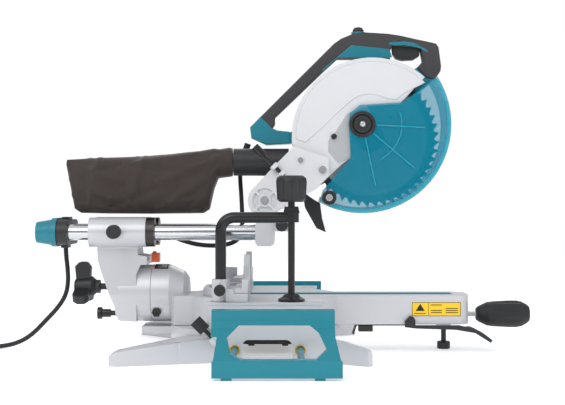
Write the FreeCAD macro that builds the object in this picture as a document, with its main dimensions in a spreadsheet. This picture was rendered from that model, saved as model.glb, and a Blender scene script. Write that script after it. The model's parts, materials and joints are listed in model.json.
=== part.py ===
import FreeCAD, Part
import math
import os

import Sketcher

# A sliding compound mitre saw for a 216 mm blade, in millimetres.
# Origin: on the bench below the turntable's axis, which is 20 mm in front of the fence face.
# +X points at the operator, +Y to the operator's right, +Z up.

os.makedirs("parts", exist_ok=True)
doc = FreeCAD.newDocument("MitreSaw")
sheet = doc.addObject("Spreadsheet::Sheet", "Sizes")
V = FreeCAD.Vector


# ---------------------------------------------------------------- sizes that stay tied to the sheet


class Size:
    """A number that remembers the sheet expression it came from."""

    def __init__(self, value, text):
        self.value = float(value)
        self.text = text

    def _join(self, other, sign, swap=False):
        a, b = (as_size(other), self) if swap else (self, as_size(other))
        value = {"+": a.value + b.value, "-": a.value - b.value, "*": a.value * b.value}[sign]
        return Size(value, f"({a.text} {sign} {b.text})")

    def __add__(self, other):
        return self._join(other, "+")

    def __radd__(self, other):
        return self._join(other, "+", swap=True)

    def __sub__(self, other):
        return self._join(other, "-")

    def __rsub__(self, other):
        return self._join(other, "-", swap=True)

    def __mul__(self, other):
        return self._join(other, "*")

    def __rmul__(self, other):
        return self._join(other, "*", swap=True)

    def __neg__(self):
        return Size(-self.value, f"(0 - {self.text})")


def as_size(x):
    return x if isinstance(x, Size) else Size(x, f"({float(x):.6f})")


def number(x):
    return x.value if isinstance(x, Size) else float(x)


rows = []


def size(name, value, meaning):
    """Write one driving dimension into the sheet and give it back as a Size."""
    row = len(rows) + 1
    rows.append(name)
    sheet.set(f"A{row}", name)
    sheet.set(f"B{row}", str(value))
    sheet.set(f"C{row}", meaning)
    sheet.setAlias(f"B{row}", name)
    return Size(value, f"Sizes.{name}")


def bind(obj, prop, value):
    """Tie a property to the sheet, or set it when the value is a plain number."""
    if isinstance(value, Size):
        obj.setExpression(prop, value.text)
    else:
        setattr(obj, prop, value)


def place(obj, at, turn=None):
    """Stand an object at a point whose coordinates may be Sizes, turned by a rotation."""
    obj.Placement = FreeCAD.Placement(V(*[number(c) for c in at]), turn or FreeCAD.Rotation())
    for axis, value in zip("xyz", at):
        if isinstance(value, Size):
            obj.setExpression(f"Placement.Base.{axis}", value.text)
    return obj


ALONG = {
    "X": FreeCAD.Rotation(V(0, 1, 0), 90),
    "Y": FreeCAD.Rotation(V(1, 0, 0), -90),
    "Z": FreeCAD.Rotation(),
}
made = []


def new(kind, hint):
    obj = doc.addObject(kind, f"{hint}_{len(made)}")
    made.append(obj)
    return obj


def box(x, y, z):
    """A box between two values on each axis."""
    obj = new("Part::Box", "Box")
    for prop, (low, high) in zip(("Length", "Width", "Height"), (x, y, z)):
        bind(obj, prop, as_size(high) - low)
    return place(obj, (x[0], y[0], z[0]))


def cyl(axis, at, radius, low, high):
    """A cylinder along an axis between two values on it. at holds its other two coordinates in order."""
    obj = new("Part::Cylinder", "Cylinder")
    bind(obj, "Radius", as_size(radius))
    bind(obj, "Height", as_size(high) - low)
    point = list(at)
    point.insert("XYZ".index(axis), low)
    return place(obj, point, ALONG[axis])


def rod(start, direction, radius, length):
    """A cylinder from a point in any direction."""
    obj = new("Part::Cylinder", "Rod")
    bind(obj, "Radius", as_size(radius))
    bind(obj, "Height", as_size(length))
    return place(obj, start, FreeCAD.Rotation(V(0, 0, 1), V(*direction)))


def outline(sketch, points):
    """Draw a closed outline. A point is (u, v), or (u, v, r) when an arc of radius r leads to it.

    A positive r runs anticlockwise, a negative one clockwise, and the arc is under half a turn.
    """
    flat = [(number(p[0]), number(p[1])) for p in points]
    count = len(points)
    for i in range(count):
        a, b = V(*flat[i], 0), V(*flat[(i + 1) % count], 0)
        bend = points[(i + 1) % count]
        if len(bend) == 2:
            sketch.addGeometry(Part.LineSegment(a, b), False)
            continue
        r = number(bend[2])
        half = (b - a) * 0.5
        rise = math.sqrt(max(r * r - half.Length**2, 0.0))
        side = V(-half.y, half.x, 0) * (1 / half.Length)
        centre = a + half + side * math.copysign(rise, r)
        ends = [math.atan2(p.y - centre.y, p.x - centre.x) for p in (a, b)]
        if r < 0:
            ends.reverse()
        circle = Part.Circle(centre, V(0, 0, 1), abs(r))
        sketch.addGeometry(Part.ArcOfCircle(circle, ends[0], ends[1]), False)

    def first(i):
        bend = points[(i + 1) % count]
        return 2 if len(bend) == 3 and number(bend[2]) < 0 else 1

    for i in range(count):
        j = (i + 1) % count
        sketch.addConstraint(Sketcher.Constraint("Coincident", i, 3 - first(i), j, first(j)))
    for i, point in enumerate(points):
        for kind, value in zip(("DistanceX", "DistanceY"), point):
            index = sketch.addConstraint(
                Sketcher.Constraint(kind, -1, 1, i, first(i), number(value))
            )
            if isinstance(value, Size):
                sketch.setExpression(f"Constraints[{index}]", value.text)
        if len(point) == 3:
            arc = (i - 1) % count
            index = sketch.addConstraint(Sketcher.Constraint("Radius", arc, abs(number(point[2]))))
            if isinstance(point[2], Size):
                sign = "" if number(point[2]) > 0 else "0 - "
                sketch.setExpression(f"Constraints[{index}]", f"{sign}{point[2].text}")


def sketch_on(body, plane, points, offset=0):
    sketch = body.newObject("Sketcher::SketchObject", f"Sketch_{len(made)}")
    made.append(sketch)
    face = [f for f in body.Origin.OriginFeatures if f.Role == f"{plane}_Plane"][0]
    sketch.AttachmentSupport = [(face, "")]
    sketch.MapMode = "FlatFace"
    if number(offset):
        sketch.AttachmentOffset = FreeCAD.Placement(V(0, 0, number(offset)), FreeCAD.Rotation())
        if isinstance(offset, Size):
            sketch.setExpression("AttachmentOffset.Base.z", offset.text)
    outline(sketch, points)
    return sketch


def prism(plane, points, low, high, rounds=None):
    """A PartDesign body: an outline in a plane, padded between two values on the third axis.

    rounds maps an outline point's number to the radius of its corner.
    """
    body = new("PartDesign::Body", "Body")
    sketch = sketch_on(body, plane, points)
    pad = body.newObject("PartDesign::Pad", f"Pad_{len(made)}")
    pad.Profile = sketch
    pad.Reversed = plane == "XZ"
    bind(pad, "Length", as_size(high) - low)
    sketch.Visibility = False
    if rounds:
        round_corners(body, pad, plane, points, rounds)
    at = {"XY": (0, 0, low), "XZ": (0, low, 0), "YZ": (low, 0, 0)}[plane]
    return place(body, at)


def round_corners(body, pad, plane, points, rounds):
    """Fillet the edges of a pad that stand on the given outline points."""
    pad.recompute(True)
    axes = {"XY": (0, 1, 2), "XZ": (0, 2, 1), "YZ": (1, 2, 0)}[plane]
    by_radius = {}
    for index, radius in rounds.items():
        u, v = (number(c) for c in points[index][:2])
        for n, edge in enumerate(pad.Shape.Edges, 1):
            ends = [list(vertex.Point) for vertex in edge.Vertexes]
            stands = len(ends) == 2 and abs(ends[0][axes[2]] - ends[1][axes[2]]) > 0.01
            if stands and all(math.hypot(e[axes[0]] - u, e[axes[1]] - v) < 1e-4 for e in ends):
                by_radius.setdefault(number(radius), (radius, []))[1].append(f"Edge{n}")
    # each fillet stands on the one before it, and its edges are found again by their places
    todo = [(r, names) for r, names in by_radius.values()]
    spots = []
    for radius, names in todo:
        middles = [pad.Shape.getElement(name).CenterOfMass for name in names]
        spots.append((radius, middles))
    base = pad
    for radius, middles in spots:
        names = []
        for n, edge in enumerate(base.Shape.Edges, 1):
            if any((edge.CenterOfMass - m).Length < 1e-3 for m in middles):
                names.append(f"Edge{n}")
        fillet = body.newObject("PartDesign::Fillet", f"Fillet_{len(made)}")
        made.append(fillet)
        fillet.Base = (base, names)
        bind(fillet, "Radius", as_size(radius))
        fillet.recompute(True)
        base = fillet


TURN_X = {
    "X": FreeCAD.Rotation(),
    "Y": FreeCAD.Rotation(V(0, 0, 1), 90),
    "Z": FreeCAD.Rotation(V(0, 1, 0), -90),
}


def turned(axis, at, profile, direction=None):
    """A revolved PartDesign body. The profile's points are (place along the axis, radius)."""
    body = new("PartDesign::Body", "Body")
    sketch = sketch_on(body, "XY", profile)
    spin = body.newObject("PartDesign::Revolution", f"Spin_{len(made)}")
    spin.Profile = sketch
    spin.ReferenceAxis = (sketch, ["H_Axis"])
    spin.Angle = 360
    turn = FreeCAD.Rotation(V(1, 0, 0), V(*direction)) if direction else TURN_X[axis]
    return place(body, at, turn)


def fuse(*objs):
    obj = new("Part::MultiFuse", "Fuse")
    obj.Shapes = list(objs)
    obj.Refine = True
    return obj


def cut(base, *tools):
    obj = new("Part::Cut", "Cut")
    obj.Base = base
    obj.Tool = tools[0] if len(tools) == 1 else fuse(*tools)
    obj.Refine = True
    return obj


def common(a, b):
    obj = new("Part::MultiCommon", "Common")
    obj.Shapes = [a, b]
    return obj


def together(*objs):
    """Separate solids of one kind that share a node."""
    obj = new("Part::Compound", "Together")
    obj.Links = list(objs)
    return obj


def mirrored(source):
    """The other hand of a piece, across the saw's middle plane."""
    obj = new("Part::Mirroring", "Mirror")
    obj.Source = source
    obj.Normal = V(0, 1, 0)
    return obj


nodes = {}


def node(name, obj):
    obj.Label = name
    nodes[name] = obj
    return obj


def round_bar(points, radius, corner_radii):
    """A bar bent along straight runs with tangent arcs, as one solid."""
    edges = bent_path(points, corner_radii)
    start = points[1] - points[0]
    ring = Part.Wire(Part.Circle(points[0], start, radius).toShape())
    return Part.Wire(edges).makePipeShell([ring], True, False, 2)


def bent_path(points, corner_radii):
    edges, last = [], points[0]
    for before, corner, after, r in zip(points, points[1:], points[2:], corner_radii):
        a, b = (before - corner).normalize(), (after - corner).normalize()
        half = a.getAngle(b) / 2
        reach = r / math.tan(half)
        start, end = corner + a * reach, corner + b * reach
        middle = (a + b).normalize()
        top = corner + middle * (r / math.sin(half) - r)
        if (start - last).Length > 1e-6:
            edges.append(Part.LineSegment(last, start).toShape())
        edges.append(Part.Arc(start, top, end).toShape())
        last = end
    edges.append(Part.LineSegment(last, points[-1]).toShape())
    return edges


# ---------------------------------------------------------------- shared sizes

table_z = size("table_z", 87, "height of the table face above the bench")
seam_z = size("seam_z", 41.4, "top of the base's floor, under the turntable")
seam_gap = size("seam_gap", 0.6, "gap between the turntable and the base")
run_gap = size("run_gap", 0.08, "radial clearance of a shaft that turns or slides in its bore")
face_gap = size("face_gap", 0.4, "gap between two pieces that move past each other")
fence_x = size("fence_x", -20, "place of the fence's working face")
table_half = size("table_half", 163, "half the width of the fixed side tables")
table_front = size("table_front", 88, "front edge of the side tables")
table_rear = size("table_rear", -78, "rear edge of the side tables")
disc_r = size("disc_r", 120, "radius of the turntable's disc")
rear_r = size("rear_r", 146, "radius of the turntable's rear block and of the base behind it")
arm_half = size("arm_half", 40, "half the width of the turntable's front arm")
wall = size("wall", 7, "wall of the base casting")
turn_low = seam_z + seam_gap
bevel_z = table_z + size("bevel_rise", 1, "height of the bevel axis above the table")

# ---------------------------------------------------------------- base


def turned_plan(points, degrees):
    """The same plan turned about the table's centre."""
    c, s = math.cos(math.radians(degrees)), math.sin(math.radians(degrees))
    return [(as_size(x) * c - as_size(y) * s, as_size(x) * s + as_size(y) * c) for x, y in points]


def base_casting():
    floor_low = seam_z - size("floor_t", 7.4, "thickness of the base's floor plate")
    lip = size("lip_t", 3.6, "height of the lip round the table's top")
    lip_out = size("lip_out", 1.2, "how far the lip stands out")
    arch = (size("arch_rear", -28, "rear side of the arch through the base"),
            size("arch_front", 44, "front side of the arch through the base"))
    top = fuse(
        box((table_rear, table_front), (-table_half, table_half), (floor_low, table_z - lip)),
        box((table_rear - lip_out, table_front + lip_out),
            (-table_half - lip_out, table_half + lip_out), (table_z - lip, table_z)),
    )
    clear_r = rear_r + face_gap + 0.6
    rear_sweep = common(
        cyl("Z", (0, 0), clear_r, seam_z, table_z + 1),
        box((-200, -34), (-200, 200), (seam_z, table_z + 1)),
    )
    sweeps = [cyl("Z", (0, 0), disc_r + face_gap + 0.6, seam_z, table_z + 1), rear_sweep]
    half = arm_half + face_gap + 0.6
    for swing in (-mitre_left, mitre_right):
        for x_low, x_high, wide in ((0, 330, half), (-182, -100, boss_r + 1.4)):
            plan = [(x_low, -wide), (x_high, -wide), (x_high, wide), (x_low, wide)]
            sweeps.append(prism("XY", turned_plan(plan, swing), seam_z, table_z + 1))
    reach = 400
    left, right = (math.radians(a) for a in (-mitre_left, mitre_right))
    fan = [(0, 0), (reach * math.cos(left), reach * math.sin(left)), (reach * 1.3, 0),
           (reach * math.cos(right), reach * math.sin(right))]
    sweeps.append(prism("XY", fan, seam_z, table_z + 1))
    top = cut(top, *sweeps)

    floor = fuse(
        cyl("Z", (0, 0), disc_r + 2, floor_low, seam_z),
        common(cyl("Z", (0, 0), rear_r, floor_low, seam_z),
               box((-200, 0), (-200, 200), (floor_low, seam_z))),
    )
    ring = cut(
        common(cyl("Z", (0, 0), rear_r, 14, floor_low), box((-200, -60), (-200, 200), (14, seam_z))),
        cyl("Z", (0, 0), rear_r - wall, 13, floor_low + 1),
        box((-200, -60), (-30, 30), (0, 27)),
    )
    side_wall = size("side_wall", 8, "thickness of the base's lower side walls")
    skirts = []
    for sign in (-1, 1):
        y = sorted((sign * (table_half - side_wall), sign * table_half), key=number)
        skirt = prism("XZ", [(-69, 0), (94, 0), (94, floor_low), (-69, floor_low)], y[0], y[1],
                      {0: 8, 1: 8})
        skirts.append(skirt)
    ribs = [box((x, x + 6), (side_wall - table_half, table_half - side_wall), (14, floor_low))
            for x in (-66, 82)]
    arches = [prism("XZ", [(arch[0], -1), (arch[1], -1), (arch[1], floor_low - 1),
                           (arch[0], floor_low - 1)], -table_half - 40, table_half + 40,
                    {2: 9, 3: 9})]

    foot_half = table_half + 40
    rear_plan = [(-58, -150), (-58, -table_half), (-75, -table_half - 3), (-203, -foot_half),
                 (-215, -foot_half + 6), (-215, -foot_half + 24), (-200, -foot_half + 34),
                 (-118, -92)]
    rear_side = [(-216, -1), (-40, -1), (-40, 36), (-69, 36), (-204, 21), (-212, 17), (-216, 12)]
    front_plan = [(66, -150), (90, -150), (150, -foot_half + 25), (157, -foot_half + 19),
                  (157, -foot_half + 6), (150, -foot_half), (94, -table_half - 2),
                  (66, -table_half)]
    front_side = [(50, -1), (158, -1), (158, 14), (155, 21), (149, 24), (113, 33), (88, 36), (50, 36)]
    feet = []
    for sign in (1, -1):
        for plan, side in ((rear_plan, rear_side), (front_plan, front_side)):
            points = [(x, sign * as_size(y)) for x, y in plan]
            if (sign < 0) == (plan is front_plan):
                points.reverse()
            feet.append(common(prism("XY", points, 0, 40), prism("XZ", side, -230, 230)))
    ledge = box((-189, -rear_r + 8), (-30, 30), (27, 38))
    lugs = [cyl("Z", (0, 0), 30, 22, floor_low)]
    bolt_r = size("bench_bolt_r", 4.5, "radius of the bench bolts' holes")
    bolt_x = size("bench_bolt_x", 120, "half the spacing of the bench bolts along X")
    bolt_y = size("bench_bolt_y", 172, "half the spacing of the bench bolts along Y")
    holes = []
    for x in (-bolt_x, bolt_x):
        for y in (-bolt_y, bolt_y):
            holes.append(cyl("Z", (x, y), bolt_r, -1, 60))
            holes.append(cyl("Z", (x, y), bolt_r + 2, 14, 60))
    for x in wing_rod_x:
        holes.append(cyl("Y", (x, wing_rod_z), wing_rod_r + run_gap, -table_half - 45, table_half + 45))
    holes.append(cyl("Z", (0, 0), pivot_r + run_gap, 0, seam_z + 1))
    for sign in (-1, 1):
        x, z = screw_from[0] + 0.7071 * 34, screw_from[1] - 0.7071 * 34
        lugs.append(rod((x, sign * screw_side, z), (1, 0, -1), 7.5, 16))
        holes.append(rod((x - 8, sign * screw_side, z + 8), (1, 0, -1), 3 + run_gap, 26))
    body = fuse(top, floor, ring, *skirts, *ribs, *feet, ledge, *lugs)
    return cut(body, *arches, *holes)


mitre_left, mitre_right = 47.0, 45.0
wing_rod_x = (size("rod_rear_x", -39, "place of a wing's rear guide rod"),
              size("rod_front_x", 55.6, "place of a wing's front guide rod"))
wing_rod_z = size("rod_z", 18, "height of the guide rods")
wing_rod_r = size("rod_r", 5, "radius of the guide rods")
pivot_r = size("pivot_r", 10, "radius of the turntable's pivot")

boss_r = size("boss_r", 44.6, "radius of the bevel boss and of the bevel arm's hub")
screw_from = (-95, 62)
screw_side = table_half + 9.4

node("base_casting", base_casting())

collar_r = size("collar_r", 7.5, "radius of the plated collars round the guide rods")
collar_t = size("collar_t", 5, "length of a collar")
collars = []
for rod_x in wing_rod_x:
    for sign in (-1, 1):
        ends = sorted((sign * table_half, sign * (table_half + collar_t)), key=number)
        collars.append(cut(cyl("Y", (rod_x, wing_rod_z), collar_r, *ends),
                           cyl("Y", (rod_x, wing_rod_z), wing_rod_r + run_gap, ends[0] - 1, ends[1] + 1)))
node("rod_collars", together(*collars))

cover_low = size("cover_low", 13.7, "underside of the black cover below the pivot")
cover = prism("XY", [(-31, -58), (47, -58), (47, 58), (-31, 58)], cover_low, 22 - 0.2,
              {0: 8, 1: 8, 2: 8, 3: 8})
bumps = [cyl("Z", (x, y), 5, cover_low - 3.5, cover_low + 1) for x in (-18, 34) for y in (-45, 45)]
node("underside_cover", fuse(cover, *bumps))

# ---------------------------------------------------------------- fence and sub-fences

fence_low = table_z + face_gap
fence_top = size("fence_top", 119.5, "top of the main fence's lugs")
fence_back = size("fence_back", -52, "back of the fence's wall")
sub_gap = size("sub_gap", 0.4, "gap between a sub-fence and the main fence")
socket_x = size("socket_x", -60, "place of the vise rod's socket")
socket_y = (size("socket_left", -143, "socket on the operator's left"),
            size("socket_right", 150, "socket on the operator's right"))
rod_r = size("vise_rod_r", 8, "radius of the vise's bent rod")
fence_end = size("fence_end", 160, "outer end of the fence")
screw_z = size("clamp_screw_z", 105, "height of the screw that grips the clamp's rod")


def fence():
    """Both halves and the curved bridge behind them, as one casting."""
    rail_top = fence_low + 12
    halves = []
    for sign in (-1, 1):
        mouth, end = sorted((sign * 44, sign * fence_end), key=number)
        halves.append(box((fence_back + 12, fence_x), (mouth, end), (fence_low, rail_top)))
        wide = sorted((sign * 92, sign * fence_end), key=number)
        halves.append(box((fence_back, fence_back + 12.01), wide, (fence_low, fence_top - 14)))
        y = socket_y[sign > 0]
        halves.append(cyl("Z", (socket_x, y), 13, fence_low, fence_top))
        halves.append(box((socket_x - 4, fence_back + 2), (y - 9, y + 9), (fence_low, fence_top)))
    bridge = cut(cyl("Z", (6, 0), 105, fence_low, fence_low + 11),
                 cyl("Z", (6, 0), 93, fence_low - 1, fence_low + 12),
                 box((fence_back + 12, 200), (-200, 200), (fence_low - 1, fence_low + 12)))
    keep = box((-93, fence_back + 12.01), (-120, 120), (fence_low - 1, fence_low + 12))
    return cut(fuse(common(bridge, keep), *halves),
               *[cyl("Z", (socket_x, y), rod_r + run_gap, fence_low - 1, fence_top + 1) for y in socket_y],
               cyl("Y", (socket_x, screw_z), 3 + run_gap, socket_y[0] - 30, socket_y[0]))


def sub_fence():
    """The left sliding fence: a plate whose inner end sweeps up to a point beside the blade."""
    low = fence_low + 12 + sub_gap
    face = [(-158, low), (-47, low), (-47, 126), (-50, 151), (-58, 150), (-74, 136), (-96, 124),
            (-122, 119.5), (-158, 119.5)]
    plate = prism("YZ", face, fence_x - 9, fence_x)
    foot = box((fence_back + 12 + sub_gap, fence_x - 8.99), (-158, -60), (low, low + 7))
    return cut(fuse(plate, foot), box((fence_x - 5, fence_x + 1), (-132, -126), (low + 6, low + 14)))


node("fence", fence())
left_fence = sub_fence()
node("sub_fence_left", left_fence)
node("sub_fence_right", mirrored(left_fence))

# ---------------------------------------------------------------- turntable

boss_back = size("boss_back", -174, "seam between the turntable's boss and the bevel arm")
arm_end = size("arm_end", 320.7, "front end of the turntable's arm")
kerf_half = size("kerf_half", 8, "half the slot between the kerf boards")
board_w = size("board_w", 13.6, "width of a kerf board")
lever_pin = (size("lever_pin_x", 226.9, "place of the lock lever's pin"),
             size("lever_pin_z", 47.4, "height of the lock lever's pin"))
foot_x = size("foot_x", 284.7, "place of the adjustable foot under the arm")
foot_stud_r = size("foot_stud_r", 4, "radius of the adjustable foot's stud")
grip_x = size("grip_x", 329, "where the mitre grip's shaft leaves the arm")
grip_z = size("grip_z", 54.7, "height of the mitre grip's axis")
grip_shaft_r = size("grip_shaft_r", 4.3, "radius of the mitre grip's shaft")


def turntable():
    disc = cyl("Z", (0, 0), disc_r, turn_low, table_z)
    rear = common(cyl("Z", (0, 0), rear_r, turn_low, table_z),
                  box((-150, -60), (-52, 52), (turn_low, table_z)))
    arm = prism("XY", [(80, -arm_half), (arm_end, -arm_half), (arm_end, arm_half), (80, arm_half)],
                turn_low, table_z, {1: 24, 2: 24})
    boss = turned("X", (0, 0, bevel_z), [(boss_back, 0), (boss_back, boss_r), (-146, boss_r),
                                         (-124, 35), (-117, 25), (-117, 0)])
    hollows = [
        cut(cyl("Z", (0, 0), disc_r - 6, turn_low - 1, table_z - 8),
            cyl("Z", (0, 0), 26, turn_low - 2, table_z),
            box((-200, -84), (-200, 200), (turn_low - 2, table_z))),
        box((60, arm_end - 14), (-arm_half + 5, arm_half - 5), (turn_low - 1, table_z - 8)),
    ]
    bosses = [cyl("Z", (foot_x, 0), 12, turn_low - 10, table_z - 7),
              box((grip_x - 42, arm_end - 8), (-11, 11), (turn_low + 2, table_z - 7)),
              cyl("Z", (0, 0), 26, turn_low, table_z - 7),
              cyl("Z", (0, 0), pivot_r, 23, turn_low + 1)]
    slot = [box((-46, 298), (-kerf_half - 1, kerf_half + 1), (turn_low - 1, table_z + 1)),
            box((-42, 296), (-kerf_half - board_w, kerf_half + board_w), (table_z - 3, table_z + 1))]
    body = cut(fuse(disc, rear, arm, boss), *hollows)
    body = fuse(body, *bosses)
    hub_slot = cut(slot[0], cyl("Z", (0, 0), 30, 0, table_z - 14))
    front = cut(hub_slot, box((grip_x - 44, 400), (-20, 20), (0, table_z - 9)))
    return cut(body, front, slot[1],
               cyl("Z", (foot_x, 0), foot_stud_r + run_gap, 20, table_z - 9),
               cyl("X", (0, grip_z), grip_shaft_r + run_gap, grip_x - 36, arm_end + 1),
               cyl("Y", lever_pin, 3 + run_gap, -arm_half - 1, arm_half + 1),
               cyl("X", (0, bevel_z), 12, boss_back - 1, -131))


node("turntable", turntable())
boards = []
for sign in (-1, 1):
    y = sorted((sign * (kerf_half + board_w - 0.2), sign * kerf_half), key=number)
    boards.append(box((-41.8, 295.8), y, (table_z - 3, table_z - 0.2)))
node("kerf_boards", together(*boards))

spring_z = turn_low - 5.2
leaf = prism("XZ", [(142, spring_z - 14), (147, spring_z), (232, spring_z), (232, turn_low),
                    (224, turn_low), (224, spring_z + 2.4), (145.5, spring_z + 2.4),
                    (140, spring_z - 13)], -9, 9)
node("detent_spring", fuse(leaf, box((150, 172), (-12, 12), (spring_z - 9, spring_z + 0.01))))

node("bevel_scale", cut(
    common(turned("X", (0, 0, bevel_z), [(-170, 0), (-170, boss_r + 0.9), (-149, boss_r + 0.9), (-149, 0)]),
           box((-171, -148), (-22, 22), (bevel_z + 30, bevel_z + 60))),
    cyl("X", (0, bevel_z), boss_r, -172, -146)))


bolts = []
for sign in (-1, 1):
    corners = [(-165 + 7.5 * math.cos(math.radians(a)), 60.6 + 7.5 * math.sin(math.radians(a)))
               for a in range(0, 360, 60)]
    low, high = sorted((sign * 36.5, sign * 41.5))
    shank = sorted((sign * 30, sign * 36.5))
    bolts.append(cut(fuse(prism("XZ", corners, low, high),
                          cyl("Y", (-165, 60.6), 4, *shank)),
                     turned("X", (0, 0, bevel_z), [(-175, 0), (-175, boss_r), (-146, boss_r), (-146, 0)])))
node("adjusting_bolts", together(*bolts))

lever_reach = size("lever_reach", 126, "length of the lock lever from its pin")


def lock_lever():
    """The flat lever below the arm, its eye on the pin and its tip curving down."""
    px, pz = lever_pin
    tip = px + lever_reach
    side = [(px - 8, pz), (px - 8, pz - 9), (px + 8, pz - 11), (px + 70, pz - 13), (px + 100, pz - 18),
            (tip - 2, pz - 33), (tip + 1, pz - 29), (px + 114, pz - 19), (px + 98, pz - 11),
            (px + 76, pz - 6.4), (px + 8, pz - 6.2), (px + 8, pz), (px, pz + 8, 8), (px - 8, pz, 8)]
    plate = prism("XZ", side[:-1], -arm_half - 7, -arm_half - face_gap)
    paddle = prism("XY", [(px + 84, -arm_half - 7), (tip, -arm_half - 7), (tip, -16), (px + 92, -16)],
                   0, 80, {1: 6, 2: 8})
    skin = prism("XZ", side[3:9] + [(px + 76, pz - 8)], -arm_half - 7, -16)
    pin = cyl("Y", (px, pz), 3, -arm_half - 9, -arm_half + 24)
    return fuse(plate, common(paddle, skin), pin)


node("lock_lever", lock_lever())

foot = fuse(cyl("Z", (foot_x, 0), foot_stud_r, 8, 46),
            turned("Z", (foot_x, 0, 0), [(0, 0), (0, 9.2), (1.2, 10.2), (10, 10.2), (11.5, 9), (11.5, 0)]))
node("foot_bolt", foot)
node("grip_shaft", cyl("X", (0, grip_z), grip_shaft_r, grip_x - 34, grip_x + 60))


def mitre_grip():
    """A waisted grip with eight flutes, on the front arm's shaft."""
    profile = [(7, 0), (7, 9.5), (11, 12.5), (24, 18.6), (34, 19.8), (58, 21), (70, 21), (78, 19.6),
               (86, 15.5), (90.2, 12), (90.2, 0)]
    body = turned("X", (grip_x, 0, grip_z), profile)
    flutes = []
    for k in range(8):
        a = math.radians(22.5 + 45 * k)
        y, z = 29.5 * math.cos(a), 29.5 * math.sin(a)
        flutes.append(cyl("X", (y, grip_z + z), 10.2, grip_x + 36, grip_x + 92))
    return cut(body, cyl("X", (0, grip_z), grip_shaft_r, grip_x + 6, grip_x + 60), *flutes)


node("mitre_grip", mitre_grip())

# ---------------------------------------------------------------- bevel arm and slide housing

pole_y = size("pole_y", 32, "distance of each slide pole from the middle")
pole_z = size("pole_z", 184.4, "height of the slide poles")
pole_r = size("pole_r", 12.25, "radius of the slide poles")
tube_r = size("tube_r", 22.9, "radius of the housing's tubes")
house = (size("house_back", -269, "rear end of the slide housing"),
         size("house_front", -181, "front end of the slide housing"))
saddle_z = pole_z - tube_r - 3.5
lock_z = size("bevel_lock_z", 98, "height of the bevel lock knob's axis")
lead_hole_r = size("lead_hole_r", 6, "radius of the lead's passage through the housing")


def bevel_arm():
    hub = cyl("X", (0, bevel_z), boss_r, boss_back - 51, boss_back - face_gap)
    side = [(-223, 48), (-196, 46), (-196, 120), (-190, 134), (-180, 134), (-180, 147), (-194, 149),
            (-195, saddle_z), (-257, saddle_z), (-256, 141), (-249, 119), (-238, 89), (-230, 71),
            (-228, 56)]
    neck = prism("XZ", side, -44, 44)
    edges = prism("YZ", [(-38, 40), (38, 40), (44, 88), (36, saddle_z), (-36, saddle_z), (-44, 88)],
                  -260, -179)
    neck = common(neck, edges)
    spigot = cyl("X", (0, bevel_z), 12 - run_gap, boss_back - 1, boss_back + 38)
    return cut(fuse(hub, neck, spigot),
               cyl("X", (0, lock_z), 5 + run_gap, -262, boss_back - 30),
               cyl("X", (-24, 58.2), 4 + run_gap, -240, -215))


node("bevel_arm", bevel_arm())


def slide_housing():
    tubes = [cyl("X", (y, pole_z), tube_r, *house) for y in (-pole_y, pole_y)]
    web = box(house, (-pole_y, pole_y), (pole_z - 19, pole_z + 19))
    saddle = box((-257, -195), (-pole_y - 4, pole_y + 4), (saddle_z, pole_z))
    boss = cyl("Y", (-227, pole_z + 1.6), 9, -pole_y - tube_r - 2, -pole_y)
    bores = [cyl("X", (y, pole_z), pole_r + run_gap, house[0] - 1, house[1] + 1) for y in (-pole_y, pole_y)]
    lead = cyl("X", (0, pole_z), lead_hole_r, house[0] - 1, house[1] + 1)
    screw = cyl("Y", (-227, pole_z + 1.6), 4 + run_gap, -pole_y - tube_r - 3, -pole_y)
    return cut(fuse(*tubes, web, saddle, boss), *bores, lead, screw)


node("slide_housing", slide_housing())


def retainer():
    """The dark plate that keeps the bushings in the housing's front."""
    low, high = house[1], house[1] + 13
    rings = [cyl("X", (y, pole_z), tube_r - 0.6, low, high) for y in (-pole_y, pole_y)]
    bar = box((low, high - 4), (-pole_y, pole_y), (pole_z - 14, pole_z + 14))
    holes = [cyl("X", (y, pole_z), pole_r + run_gap, low - 1, high + 1) for y in (-pole_y, pole_y)]
    return cut(fuse(*rings, bar), *holes, cyl("X", (0, pole_z), lead_hole_r, low - 1, high + 1))


node("housing_retainer", retainer())


def star_knob():
    """The black bevel lock knob: a hub with three wings, on its shaft."""
    x0 = -298
    hub = turned("X", (x0, 0, lock_z), [(0, 0), (0, 10), (3, 14), (28, 16), (34, 10.5), (40, 10.5), (40, 0)])
    wings = []
    for k in range(3):
        spin = FreeCAD.Rotation(V(1, 0, 0), 120 * k + 90)
        wing = prism("XY", [(x0 + 4, 0), (x0 + 24, 0), (x0 + 26, 30), (x0 + 20, 39), (x0 + 8, 39),
                            (x0 + 1, 32)], -7, 7, {2: 6, 3: 6, 4: 6})
        offset = spin.multVec(V(0, 0, -7))
        wings.append(place(wing, (0, offset.y, lock_z + offset.z), spin))
    shaft = cyl("X", (0, lock_z), 5, x0 + 30, boss_back - 32)
    return fuse(hub, shaft, *wings)


node("bevel_lock_knob", star_knob())
node("bevel_release_pin", turned("X", (-258, -24, 58.2), [
    (0, 0), (0, 9.3), (6, 9.3), (7, 8), (7, 6.3), (20, 6.3), (20, 4), (38, 4), (38, 0)]))
stop_pin_x = -172
stop = fuse(box((stop_pin_x - 4, stop_pin_x + 8), (-12, 8), (137, 151)),
            cyl("Z", (stop_pin_x, -2), 3, 137, 153.5))
node("stop_lever", stop)
node("carriage_lock_knob", turned("Y", (-227, -76, pole_z + 1.6), [
    (0, 0), (0, 9.4), (1.2, 10.8), (14, 10.8), (15, 9.6), (15, 4), (31, 4), (31, 0)]))

# ---------------------------------------------------------------- carriage

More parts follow.
